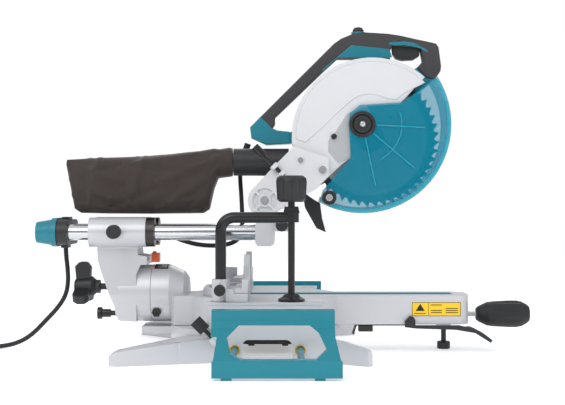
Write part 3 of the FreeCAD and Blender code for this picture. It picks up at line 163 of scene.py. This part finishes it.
def bars(name, middles, along, across, tall):
    """Small rectangular bars: each has a middle and three half-edge vectors, so that its eight
    corners are the middle plus or minus each of them."""
    middles, along, across, tall = (np.broadcast_arrays(np.asarray(middles, float), along, across, tall))
    signs = np.array([(a, b, c) for a in (-1, 1) for b in (-1, 1) for c in (-1, 1)], float)
    corners = (middles[:, None] + signs[None, :, :1] * along[:, None]
               + signs[None, :, 1:2] * across[:, None] + signs[None, :, 2:] * tall[:, None])
    sides = np.array([(0, 1, 3, 2), (4, 6, 7, 5), (0, 4, 5, 1), (2, 3, 7, 6), (0, 2, 6, 4), (1, 5, 7, 3)])
    faces = (sides[None] + 8 * np.arange(len(corners))[:, None, None]).reshape(-1, 4)
    mesh = bpy.data.meshes.new(name)
    mesh.from_pydata((corners.reshape(-1, 3) * 0.001).tolist(), [], faces.tolist())
    work = bmesh.new()
    work.from_mesh(mesh)
    bmesh.ops.recalc_face_normals(work, faces=work.faces)
    work.to_mesh(mesh)
    work.free()
    piece = bpy.data.objects.new(name, mesh)
    scene.collection.objects.link(piece)
    return piece


def tube(name, path, radius, sides=14):
    """A round tube: a circle of the radius carried along the path.

    At each point the circle stands across the path's direction, on a normal that is turned
    as little as possible from one point to the next.
    """
    path = np.asarray(path, float)
    radius = np.broadcast_to(radius, len(path))[:, None, None]
    way = np.gradient(path, axis=0)
    way /= np.linalg.norm(way, axis=1)[:, None]
    normal = np.empty_like(way)
    side = np.cross(way[0], (0.3, 1.0, 0.2))
    normal[0] = side / np.linalg.norm(side)
    for k in range(1, len(path)):
        side = normal[k - 1] - way[k] * (normal[k - 1] @ way[k])
        normal[k] = side / np.linalg.norm(side)
    across = np.cross(way, normal)
    turn = np.linspace(0, 2 * np.pi, sides, endpoint=False)[None, :, None]
    ring = normal[:, None] * np.cos(turn) + across[:, None] * np.sin(turn)
    return grid_mesh(name, path[:, None] + radius * ring, closed_v=True, caps=True)


def lathe(name, axis, at, profile, sides=48):
    """A profile of (along, radius) pairs turned about an axis through the point at."""
    profile = np.asarray(profile, float)
    turn = np.linspace(0, 2 * np.pi, sides, endpoint=False)
    u, v = {"X": ((0, 1, 0), (0, 0, 1)), "Y": ((0, 0, 1), (1, 0, 0)), "Z": ((1, 0, 0), (0, 1, 0))}[axis]
    w = np.cross(u, v)
    ring = np.cos(turn)[:, None] * np.array(u) + np.sin(turn)[:, None] * np.array(v)
    points = np.array(at) + profile[:, None, :1] * w + profile[:, None, 1:] * ring[None]
    return grid_mesh(name, points, closed_v=True, caps=True)


def slab(name, outline, low, high, edge=0.0, plane="XZ"):
    """An outline carried along the third axis from low to high, with its edges rounded."""
    outline = np.asarray(outline, float) * 0.001
    area = np.sum(outline[:, 0] * np.roll(outline[:, 1], -1) - outline[:, 1] * np.roll(outline[:, 0], -1))
    if area < 0:
        outline = outline[::-1]
    level = np.array([low, high])[:, None] * 0.001 * np.ones(len(outline))
    u, v = np.broadcast_to(outline[:, 0], level.shape), np.broadcast_to(outline[:, 1], level.shape)
    order = {"XZ": (u, level, v), "XY": (u, v, level), "YZ": (level, u, v)}[plane]
    points = np.stack(order, axis=-1)
    if plane == "XZ":
        points = points[::-1]
    piece = grid_mesh(name, points, closed_v=True, caps=True, smooth=False)
    if edge:
        soft = piece.modifiers.new("edge", "BEVEL")
        soft.width = edge * 0.001
        soft.segments = 3
        soft.limit_method = "ANGLE"
        piece.data.polygons.foreach_set("use_smooth", [True] * len(piece.data.polygons))
        soft.harden_normals = True
    return piece


def settle(piece, material, slot, body, *replaced):
    """Gives a piece its finish, the body it rides on and the CAD nodes it stands for; the slot argument is
    not used.
    """
    piece.data.materials.append(finishes[material])
    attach(piece, body)
    if replaced:
        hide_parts(*replaced)
    return piece


# ------------------------------------------------------------------ finishes

finishes = {}


def finish(name, colour, rough, metallic=0.0, ior=1.5, grain=1.5, depth=0.02, edge=0.8, mottle=0.06,
           worn=0.15, patch=40.0):
    """A coated or moulded surface: even colour with slow mottling, fine grain and softened edges.

    grain and patch are the sizes of the fine and slow patterns in mm, depth is the grain's height
    and edge the rounding of corners in mm. Edges are lighter by worn.
    """
    material = bpy.data.materials.new(name)
    material.use_nodes = True
    tree = material.node_tree
    tree.nodes.clear()
    place = add(tree, "ShaderNodeTexCoord")
    slow = add(tree, "ShaderNodeTexNoise", {"Scale": 1000 / patch, "Detail": 3.0},
               {"Vector": (place, "Object")})
    fine = add(tree, "ShaderNodeTexNoise", {"Scale": 1000 / grain, "Detail": 2.0},
               {"Vector": (place, "Object")})
    corner = add(tree, "ShaderNodeBevel", {"Radius": edge * 0.001}, samples=4)
    flat = add(tree, "ShaderNodeNewGeometry")
    same = add(tree, "ShaderNodeVectorMath", links={0: (corner, 0), 1: (flat, "Normal")},
               operation="DOT_PRODUCT")
    rim = add(tree, "ShaderNodeMapRange", {"From Min": 1.0, "From Max": 0.7, "To Min": 0.0, "To Max": worn},
              {"Value": (same, "Value")})
    base = linear(colour)
    dark = [c * (1 - mottle) for c in base[:3]] + [1]
    tone = add(tree, "ShaderNodeMix", {6: dark, 7: base}, {0: (slow, "Fac")}, data_type="RGBA")
    light = add(tree, "ShaderNodeMix", {7: [c * 0.4 + 0.55 for c in base[:3]] + [1]},
                {0: (rim, "Result"), 6: (tone, 2)}, data_type="RGBA")
    gloss = add(tree, "ShaderNodeMapRange", {"To Min": rough - 0.06, "To Max": rough + 0.06},
                {"Value": (fine, "Fac")})
    bump = add(tree, "ShaderNodeBump", {"Strength": 0.6, "Distance": depth * 0.001},
               {"Height": (fine, "Fac"), "Normal": (corner, 0)})
    shader = add(tree, "ShaderNodeBsdfPrincipled", {"Metallic": metallic, "IOR": ior},
                 {"Base Color": (light, 2), "Roughness": (gloss, "Result"), "Normal": (bump, 0)})
    add(tree, "ShaderNodeOutputMaterial", links={"Surface": (shader, 0)})
    finishes[name] = material
    return tree, shader


# Sprayed silver paint on cast aluminium: pale, faintly pebbled, soft highlights.
finish("silver_paint", "#D3D4D8", 0.36, metallic=0.25, grain=0.9, depth=0.03, edge=1.2, mottle=0.04)
# The blade case's paint is the same, a shade whiter.
finish("white_paint", "#DFE0E3", 0.33, metallic=0.05, grain=0.9, depth=0.02, edge=2.4, mottle=0.03)
# Gloss teal enamel on the cast wings.
finish("teal_paint", "#0A8697", 0.30, grain=1.2, depth=0.03, edge=1.4, mottle=0.08)
# Injection-moulded ABS with a fine spark-eroded texture.
finish("teal_plastic", "#0A7F92", 0.40, ior=1.54, grain=0.5, depth=0.02, edge=2.0, mottle=0.05)
finish("black_plastic", "#232325", 0.46, ior=1.54, grain=0.5, depth=0.03, edge=1.2, mottle=0.12, worn=0.06)
finish("orange_plastic", "#EF6428", 0.40, ior=1.54, grain=0.5, depth=0.02)
# Vulcanised rubber: deep black, dull, slightly dusty.
finish("black_rubber", "#1E1E20", 0.62, ior=1.52, grain=0.7, depth=0.05, edge=1.2, mottle=0.2, worn=0.05)
# Soft-touch overmould of the handle: charcoal, almost without gloss.
finish("grey_rubber", "#3F3E40", 0.66, ior=1.50, grain=0.45, depth=0.04, edge=5.0, mottle=0.1, worn=0.03)
# Black phosphated or painted steel rod: half-gloss.
finish("black_steel", "#18181A", 0.30, ior=1.5, grain=1.0, depth=0.01, edge=0.6, mottle=0.15, worn=0.08)
# Blued spring steel.
finish("dark_steel", "#4C4B49", 0.38, metallic=1.0, grain=0.8, depth=0.02, edge=0.5)
# Bright zinc plate, with its slight blue cast.
finish("zinc_steel", "#C9CCCE", 0.26, metallic=1.0, grain=1.2, depth=0.01, edge=0.5)
# Yellow-passivated zinc plate.
finish("yellow_zinc", "#D2AA48", 0.30, metallic=1.0, grain=1.2, depth=0.01, edge=0.4)
# Ground and hard-chromed bar: a mirror with a hint of grinding marks.
finish("polished_chrome", "#D5D7DA", 0.10, metallic=1.0, grain=3.0, depth=0.002, edge=0.4, mottle=0.02)
# Printed label stock.
finish("yellow_label", "#FFD22A", 0.45, grain=0.6, depth=0.005, edge=0.1, mottle=0.02, worn=0.0)
finish("ink", "#1A1A1A", 0.5, grain=0.6, depth=0.005, edge=0.1, worn=0.0)
# Grey primer inside the recess of the case.
finish("grey_plate", "#BFC2C4", 0.42, metallic=0.4, grain=0.8, depth=0.03, edge=0.6)


def ground_steel():
    """Saw plate: circular grinding lines about the arbor, with painted light: a pale painted reflection on
    the polished inner disc and a dark, bluish painted shade on the ring of teeth.
    """
    tree, shader = finish("blade_steel", "#C3C7C9", 0.24, metallic=1.0, grain=1.0, depth=0.0, edge=0.2,
                          mottle=0.02)
    low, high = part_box("blade")
    middle = [(low[0] + high[0]) / 2, 0, (low[2] + high[2]) / 2]
    place = add(tree, "ShaderNodeTexCoord")
    shift = add(tree, "ShaderNodeVectorMath", {1: middle}, {0: (place, "Object")}, operation="SUBTRACT")
    ring = add(tree, "ShaderNodeVectorMath", links={0: (shift, 0)}, operation="LENGTH")
    lines = add(tree, "ShaderNodeTexWave", {"Scale": 1000 / 1.3, "Distortion": 1.5, "Detail": 2.0},
                {"Vector": (shift, 0)}, wave_type="RINGS", rings_direction="Y")
    # Mask, 0 inside 89 mm and 1 beyond it: it paints a shade on the tooth ring (#39464B) and a painted
    # reflection on the inner disc (#AEB6B8).
    tooth_ring_shade = add(tree, "ShaderNodeMapRange", {"From Min": 0.089, "From Max": 0.0905},
               {"Value": (ring, "Value")})
    tone = add(tree, "ShaderNodeMix", {6: linear("#AEB6B8"), 7: linear("#39464B")}, {0: (tooth_ring_shade, "Result")},
               data_type="RGBA")
    bump = add(tree, "ShaderNodeBump", {"Strength": 0.5, "Distance": 0.00002}, {"Height": (lines, "Fac")})
    tree.links.new(tone.outputs[2], shader.inputs["Base Color"])
    tree.links.new(bump.outputs[0], shader.inputs["Normal"])
    shader.inputs["Anisotropic"].default_value = 0.5


def clear_polycarbonate(name, colour, body):
    """Tinted clear sheet: what is behind shows through it in its colour, its skin is glossy."""
    tree, shader = finish(name, colour, 0.10, ior=1.58, grain=2.0, depth=0.0, edge=0.5, worn=0.35)
    shader.inputs["Alpha"].default_value = body


ground_steel()
clear_polycarbonate("teal_clear", "#0C97B4", 0.50)
clear_polycarbonate("teal_rib", "#39C3DA", 0.5)


def woven_nylon():
    """Plain weave of 0.9 mm threads, drawn twice its real 0.45 mm so that it shows, with a soft sheen."""
    tree, shader = finish("brown_fabric", "#3E3431", 0.80, ior=1.5, grain=0.9, depth=0.1, edge=0.3,
                          mottle=0.25,
                          worn=0.0, patch=25.0)
    place = add(tree, "ShaderNodeTexCoord")
    warp = add(tree, "ShaderNodeTexWave", {"Scale": 1000 / 5.6}, {"Vector": (place, "Object")},
               bands_direction="X")
    weft = add(tree, "ShaderNodeTexWave", {"Scale": 1000 / 5.6}, {"Vector": (place, "Object")},
               bands_direction="Z")
    cloth = add(tree, "ShaderNodeMath", links={0: (warp, "Fac"), 1: (weft, "Fac")}, operation="MULTIPLY")
    bump = add(tree, "ShaderNodeBump", {"Strength": 0.5, "Distance": 0.0003}, {"Height": (cloth, "Value")})
    tree.links.new(bump.outputs[0], shader.inputs["Normal"])
    shader.inputs["Sheen Weight"].default_value = 0.35
    shader.inputs["Sheen Roughness"].default_value = 0.4


woven_nylon()
for part in frame["record"]["subparts"]:
    node = nodes[part["node"]]
    if not node.material_slots:
        node.data.materials.append(None)
    for holder in node.material_slots:
        holder.material = finishes[part["material_slot"]]

floor = grid_mesh("floor", np.array([[(-40, -40, 0), (-40, 40, 0)], [(40, -40, 0), (40, 40, 0)]], float))
paper = finish("floor_paper", "#FBFBFB", 0.8, grain=2.0, depth=0.0, edge=0.1, mottle=0.01, worn=0.0)[1]
paper.inputs["Emission Color"].default_value = (1, 1, 1, 1)
paper.inputs["Emission Strength"].default_value = 0.35
floor.data.materials.append(finishes["floor_paper"])


# ------------------------------------------------------------------ leads

LEAD_R = 0.0035
COIL_AT = (-0.490, 0.022)
COIL_INNER, COIL_SWING = 0.0335, 0.0140


def spline_of(name, route):
    """The smooth line that a lead follows: a quadratic NURBS with the route as its control points."""
    line = bpy.data.curves.new(name, "CURVE")
    line.dimensions = "3D"
    line.resolution_u = 12
    spline = line.splines.new("NURBS")
    spline.points.add(len(route) - 1)
    flat = np.hstack([np.asarray(route, float), np.ones((len(route), 1))])
    spline.points.foreach_set("co", flat.ravel())
    spline.order_u = 3
    spline.use_endpoint_u = True
    obj = bpy.data.objects.new(name, line)
    scene.collection.objects.link(obj)
    return obj


mains_route = [(-0.313, 0, 0.166), (-0.3125, 0, 0.149), (-0.310, 0, 0.128), (-0.309, 0.001, 0.106),
               (-0.313, 0.003, 0.084), (-0.326, 0.005, 0.064), (-0.346, 0.006, 0.043),
               (-0.366, 0.004, 0.022),
               (-0.386, 0, 0.0095), (-0.409, -0.006, 0.0042), (-0.435, -0.014, 0.0036),
               (-0.462, -0.021, 0.0036)]


def coil():
    """Six flat turns about the coil's middle: three wind inwards on the floor, three outwards on top.

    The angle falls steadily, the radius goes from 47.5 to 33.5 mm and back, and the height steps up
    one cord's thickness halfway.
    """
    turns = np.arange(0, 73) / 12
    angle = np.radians(-88) - 2 * np.pi * turns
    radius = COIL_INNER + COIL_SWING * np.abs(turns - 3) / 3
    climb = np.clip((turns - 2.4) / 0.9, 0, 1)
    z = 0.0036 + 0.0073 * climb * climb * (3 - 2 * climb)
    return np.column_stack([COIL_AT[0] + radius * np.cos(angle), COIL_AT[1] + radius * np.sin(angle), z])


tail = [(-0.5121, -0.0199, 0.0109), (-0.5306, -0.0049, 0.0105), (-0.5440, 0.0080, 0.0101),
        (-0.5473, 0.0296, 0.0112),
        (-0.5488, 0.0487, 0.0101), (-0.5488, 0.0630, 0.0127), (-0.5429, 0.0748, 0.0150),
        (-0.5272, 0.0908, 0.0170),
        (-0.5130, 0.0908, 0.0170)]
mains = spline_of("mains_lead", np.vstack([mains_route, coil(), tail]))
mains.data.bevel_depth = LEAD_R
mains.data.bevel_resolution = 4
mains.data.use_fill_caps = True
mains.data.materials.append(finishes["black_rubber"])
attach(mains, "carriage")
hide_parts("mains_cord", "cord_coil")

head_route = [(-0.0327, 0.047, 0.3068), (-0.038, 0.048, 0.290), (-0.039, 0.048, 0.270),
              (-0.037, 0.041, 0.248),
              (-0.035, 0.023, 0.222), (-0.033, 0.005, 0.194), (-0.038, 0, 0.172), (-0.060, 0, 0.1625),
              (-0.100, 0, 0.1625), (-0.134, 0, 0.172), (-0.158, 0, 0.1844), (-0.309, 0, 0.1844)]
guide = spline_of("head_lead_line", head_route)
line_mesh = bpy.data.meshes.new_from_object(guide)
line_points = np.empty(len(line_mesh.vertices) * 3)
line_mesh.vertices.foreach_get("co", line_points)
line_points = line_points.reshape(-1, 3)
bpy.data.objects.remove(guide)
head_lead = tube("head_lead_skin", line_points, LEAD_R)
head_lead.data.materials.append(finishes["black_rubber"])
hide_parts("head_lead")
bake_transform(head_lead)


# ------------------------------------------------------------------ dust bag

# One fold a row: from x, z to x, z, its width and its height, in mm. FOLD_GAIN deepens them all.
FOLD_GAIN = 1.35
FOLDS = np.array([
    (-88, 294, -168, 262, 6, 3.4), (-86, 272, -150, 230, 7, 3.6), (-86, 246, -118, 216, 5, 2.4),
    (-104, 309, -205, 293, 6, 2.6), (-300, 290, -222, 264, 7, 3.6), (-302, 262, -238, 236, 6, 3.0),
    (-296, 230, -232, 217, 5, 2.2), (-188, 302, -214, 228, 8, 2.6), (-150, 302, -136, 252, 7, 2.2),
    (-258, 301, -274, 232, 8, 2.4), (-168, 252, -242, 222, 7, -2.6), (-120, 280, -186, 284, 6, -2.2),
    (-226, 290, -262, 280, 6, -2.4), (-110, 236, -170, 220, 6, 2.6), (-200, 262, -196, 216, 5, 1.8)], float)


def dust_bag():
    """A sagging cloth tube from the outlet's cuff to a flat sewn tail.

    u runs from the cuff to the tail, v round the bag. The top and bottom lines and the half width
    are read off as functions of u, and the section between them is a squarish ellipse. Each fold is a
    ridge along a straight line, as high as a bell curve of the distance from that line. Towards the
    tail the edge leans back.
    """
    u = np.concatenate([np.linspace(0, 0.16, 26), np.linspace(0.165, 1, 110)])[:, None]
    v = np.linspace(0, 2 * np.pi, 96, endpoint=False)[None, :]
    x = -0.0496 - 0.2516 * u
    top = np.interp(-x, [0.049, 0.054, 0.070, 0.080, 0.104, 0.150, 0.200, 0.260, 0.302],
                    [0.3165, 0.3185, 0.3160, 0.3172, 0.3125, 0.3070, 0.3040, 0.3020, 0.2990])
    low = np.interp(-x, [0.049, 0.058, 0.072, 0.079, 0.086, 0.096, 0.180, 0.250, 0.292, 0.302],
                    [0.2725, 0.2710, 0.2695, 0.252, 0.220, 0.2135, 0.2125, 0.2130, 0.2140, 0.2220])
    wide = np.interp(-x, [0.049, 0.072, 0.090, 0.130, 0.200, 0.260, 0.290, 0.302],
                     [0.0243, 0.0250, 0.0295, 0.0335, 0.0345, 0.0270, 0.0120, 0.0030])
    soft = 2 / np.interp(-x, [0.049, 0.080, 0.120], [2.0, 2.2, 2.7])
    c, s = np.cos(v), np.sin(v)
    y = 0.020 + wide * np.sign(c) * np.abs(c) ** soft
    half = (top - low) / 2
    z = (top + low) / 2 + half * np.sign(s) * np.abs(s) ** soft
    body = np.clip((u - 0.10) / 0.12, 0, 1) * np.clip((1 - u) / 0.08, 0.15, 1)
    shift = np.where(c > 0, 14.0, 0.0)
    spot = np.stack(np.broadcast_arrays(x * 1000 + shift, z * 1000), axis=-1)[:, :, None]
    start, end = FOLDS[:, 0:2], FOLDS[:, 2:4]
    run = end - start
    t = np.clip(np.sum((spot - start) * run, axis=-1) / np.sum(run * run, axis=-1), 0, 1)
    away = np.linalg.norm(spot - (start + t[..., None] * run), axis=-1)
    wide_here = FOLDS[:, 4] * (0.45 + 0.55 * np.sin(np.pi * t))
    fold = body * 0.001 * np.sum(FOLD_GAIN * FOLDS[:, 5] * np.exp(-(away / wide_here) ** 2), axis=-1)
    fold = fold + 0.0010 * np.sin(9 * v + 3 * np.sin(9 * u)) * np.exp(-((u - 0.11) / 0.05) ** 2)
    y = y + fold * np.sign(c) * np.abs(c) ** 0.5
    z = z + 0.35 * fold * s
    back = np.clip((u - 0.7) / 0.3, 0, 1) ** 2 * 0.014 * (z - 0.219) / 0.08
    edge = 0.0013 * np.sin(26 * (z - 0.2) / 0.1) * np.clip((u - 0.9) / 0.1, 0, 1)
    points = np.stack(np.broadcast_arrays(x - back + edge, y, z), axis=-1)
    lip = points[:1].copy()
    lip[..., 1] = 0.020 + 0.02185 * c
    lip[..., 2] = 0.295 + 0.02185 * s
    return np.concatenate([lip, points])


bag_points = dust_bag()
bag = grid_mesh("dust_bag_cloth", bag_points[:, ::-1], closed_v=True, caps=True)
settle(bag, "brown_fabric", "brown_fabric", "head", "dust_bag")


# ------------------------------------------------------------------ head

CASE_NEAR, GUARD_NEAR = -29.0, -35.5
BLADE_AT, GUARD_AT = (169.5, 331.5), (154.0, 352.0)


def arc(middle, radius, start, end, count=24):
    """Points on a circle in the XZ plane, from one angle to another, in degrees from +X towards +Z."""
    turn = np.radians(np.linspace(start, end, count))
    return np.column_stack([middle[0] + radius * np.cos(turn), middle[1] + radius * np.sin(turn)])


plateau = np.vstack([arc(BLADE_AT, 119, 46, 181, 40), [(66, 324), (90, 345), (122, 376), (137, 389)],
                     arc((166, 352), 47, 118, 62, 10), [(206, 390), (222, 402)]])
settle(slab("case_raised_face", plateau, CASE_NEAR - 1.2, CASE_NEAR + 0.3, edge=0.9), "white_paint",
       "white_paint", "head")
recess = [(101.5, 327), (112, 340), (131, 369), (136, 372), (136, 300), (117, 291), (101, 310)]
settle(slab("case_recess_plate", recess, CASE_NEAR - 0.5, CASE_NEAR + 0.3, edge=0.3), "grey_plate",
       "white_paint", "head")
bolt_caps = (("blade_cover_bolt", (110, 333), 5.0, 4.2), ("case_pin", (199, 362), 3.6, 2.0))
for name, spot, radius, high in bolt_caps:
    cap_side = [(0.0, 0.01), (0.0, radius - 0.8), (0.8, radius), (high, radius), (high, 0.01)]
    cap = lathe(name, "Y", (spot[0] * 0.001, (CASE_NEAR - high) * 0.001, spot[1] * 0.001),
                np.array(cap_side) * 0.001, 28)
    settle(cap, "black_steel", "black_steel", "head")

inner = [(93, 443), (140.5, 482.6), (201, 476.5), (205.5, 463), (198, 462.3), (118, 462.3), (95.2, 441.2)]
settle(slab("handle_inner_panel", inner, 21.2, 22.4, edge=0.5), "teal_plastic", "teal_plastic", "head")
strip = np.vstack([[(199, 483.6), (203, 487.5), (225, 488.6), (241, 486.2), (262, 474.6), (263.5, 471.6),
                    (259, 471.8), (252, 476.2), (244, 479.4), (236, 480.8), (224, 482.6), (210, 481.8)]])
settle(slab("handle_front_strip", strip, 21.1, 22.4, edge=0.5), "teal_plastic", "teal_plastic", "head")
settle(slab("handle_inner_panel_far", inner, 49.6, 50.8, edge=0.5), "teal_plastic", "teal_plastic", "head")
settle(slab("handle_front_strip_far", strip, 49.6, 50.9, edge=0.5), "teal_plastic", "teal_plastic", "head")

angles = np.radians([-78, -40, -3])
rib_way = np.column_stack([np.cos(angles), 0 * angles, np.sin(angles)])
rib_hub = np.array([(GUARD_AT[0], GUARD_NEAR - 0.5, GUARD_AT[1])])
rib_half = np.array([[38.0], [42.0], [37.0]])
ribs = bars("guard_ribs", rib_hub + rib_way * (rib_half + 22), rib_way * rib_half,
            np.cross(rib_way, (0, 1, 0)) * 0.9, np.array([(0, 0.9, 0)]))
settle(ribs, "teal_rib", "teal_clear", "lower_guard")
ring = np.vstack([arc(GUARD_AT, 61.8, -62, 18, 40), arc(GUARD_AT, 60.2, 18, -62, 40)])
settle(slab("guard_ring_rib", ring, GUARD_NEAR - 1.3, GUARD_NEAR + 0.1), "teal_rib", "teal_clear",
       "lower_guard")
band = np.vstack([arc(GUARD_AT, 137.6, -113, 31, 90), arc(GUARD_AT, 131.6, 31, -113, 90)])
settle(slab("guard_rim_band", band, GUARD_NEAR - 0.8, GUARD_NEAR + 0.1, edge=0.4), "teal_rib", "teal_clear",
       "lower_guard")
hub = lathe("guard_hub_rings", "Y", (0.154, (GUARD_NEAR - 0.6) * 0.001, 0.352),
            np.array([(0.6, 15.2), (-1.4, 15.6), (-1.4, 17.4), (0.0, 17.8), (0.0, 19.2), (-0.8, 19.6),
                      (-0.8, 20.4),
                      (0.6, 20.5)]) * 0.001, 64)
settle(hub, "black_plastic", "teal_clear", "lower_guard")
dome = lathe("guard_bolt_end", "Y", (0.154, (GUARD_NEAR - 8.6) * 0.001, 0.352),
             np.array([(0.0, 0.01), (0.1, 2.2), (0.9, 4.0), (2.0, 4.6), (3.4, 4.6), (3.4, 0.01)]) * 0.001,
             32)
settle(dome, "zinc_steel", "zinc_steel", "head")
root = [(-22, 350.5), (-6, 367.5), (2, 361), (12, 350.5), (21, 346), (41, 344), (42, 326), (5, 324),
        (-20, 334)]
settle(slab("handle_root_panel", root, 21.1, 22.4, edge=0.5), "teal_plastic", "teal_plastic", "head")
settle(slab("handle_root_panel_far", root, 49.6, 50.9, edge=0.5), "teal_plastic", "teal_plastic", "head")
for holder in nodes["blade_bolt"].material_slots:
    holder.material = finishes["black_steel"]
for holder in nodes["guard_bolt"].material_slots:
    holder.material = finishes["black_plastic"]


# ------------------------------------------------------------------ label, scales and vents

ARM_NEAR = -40.0
sheet = [(230, 54.8), (306, 54.8), (306, 76.6), (230, 76.6)]
settle(slab("arm_label", sheet, ARM_NEAR - 0.25, ARM_NEAR + 0.1), "yellow_label", "silver_paint",
       "turntable")
lines = [(268, 76.0, 37.4, 0.35), (268, 55.4, 37.4, 0.35), (230.7, 65.7, 0.35, 10.6),
         (305.3, 65.7, 0.35, 10.6),
         (256, 65.7, 0.3, 10.3), (268, 60.4, 8.5, 0.6), (268, 63.6, 8.5, 0.6), (292, 60.4, 9.5, 0.6),
         (292, 63.6, 9.5, 0.6), (292, 66.8, 9.5, 0.6), (268, 72.2, 8.5, 0.6), (243, 59.2, 8.6, 0.5)]
lines = np.array(lines)
ink = bars("arm_label_print", np.column_stack([lines[:, 0], np.full(len(lines), ARM_NEAR - 0.3),
                                               lines[:, 1]]),
           np.column_stack([lines[:, 2], 0 * lines[:, 2], 0 * lines[:, 2]]),
           np.column_stack([0 * lines[:, 3], 0 * lines[:, 3], lines[:, 3]]), np.array([(0, 0.12, 0)]))
settle(ink, "ink", "silver_paint", "turntable")
sign = [(236, 63), (250, 63), (243, 74)]
settle(slab("arm_label_sign", sign, ARM_NEAR - 0.42, ARM_NEAR), "ink", "silver_paint", "turntable")

BEVEL_Z, BOSS_R = 88.0, 45.5
steps = np.arange(-24, 25, 4)
tick = np.radians(90 + steps)
out = np.column_stack([0 * tick, np.cos(tick), np.sin(tick)])
long_tick = np.where(steps % 12 == 0, 7.0, 4.0)[:, None]
tick_half = long_tick * np.array([(1, 0, 0)])
tick_middle = out * (BOSS_R + 0.05) + np.array([(-151, 0, BEVEL_Z)]) - tick_half
marks = bars("bevel_scale_ticks", tick_middle, tick_half, np.cross(out, (1, 0, 0)) * 0.35, out * 0.15)
settle(marks, "white_paint", "black_plastic", "turntable")

MOTOR_AT, MOTOR_R = (158.0, 362.0), 44.0
turn = np.radians(np.arange(0, 360, 15))
out = np.column_stack([np.cos(turn), 0 * turn, np.sin(turn)])
vents = bars("motor_vents", out * MOTOR_R + np.array([(MOTOR_AT[0], 104, MOTOR_AT[1])]),
             np.array([(0, 12, 0)]),
             np.cross(out, (0, 1, 0)) * 1.6, out * 0.35)
settle(vents, "black_plastic", "teal_plastic", "head")
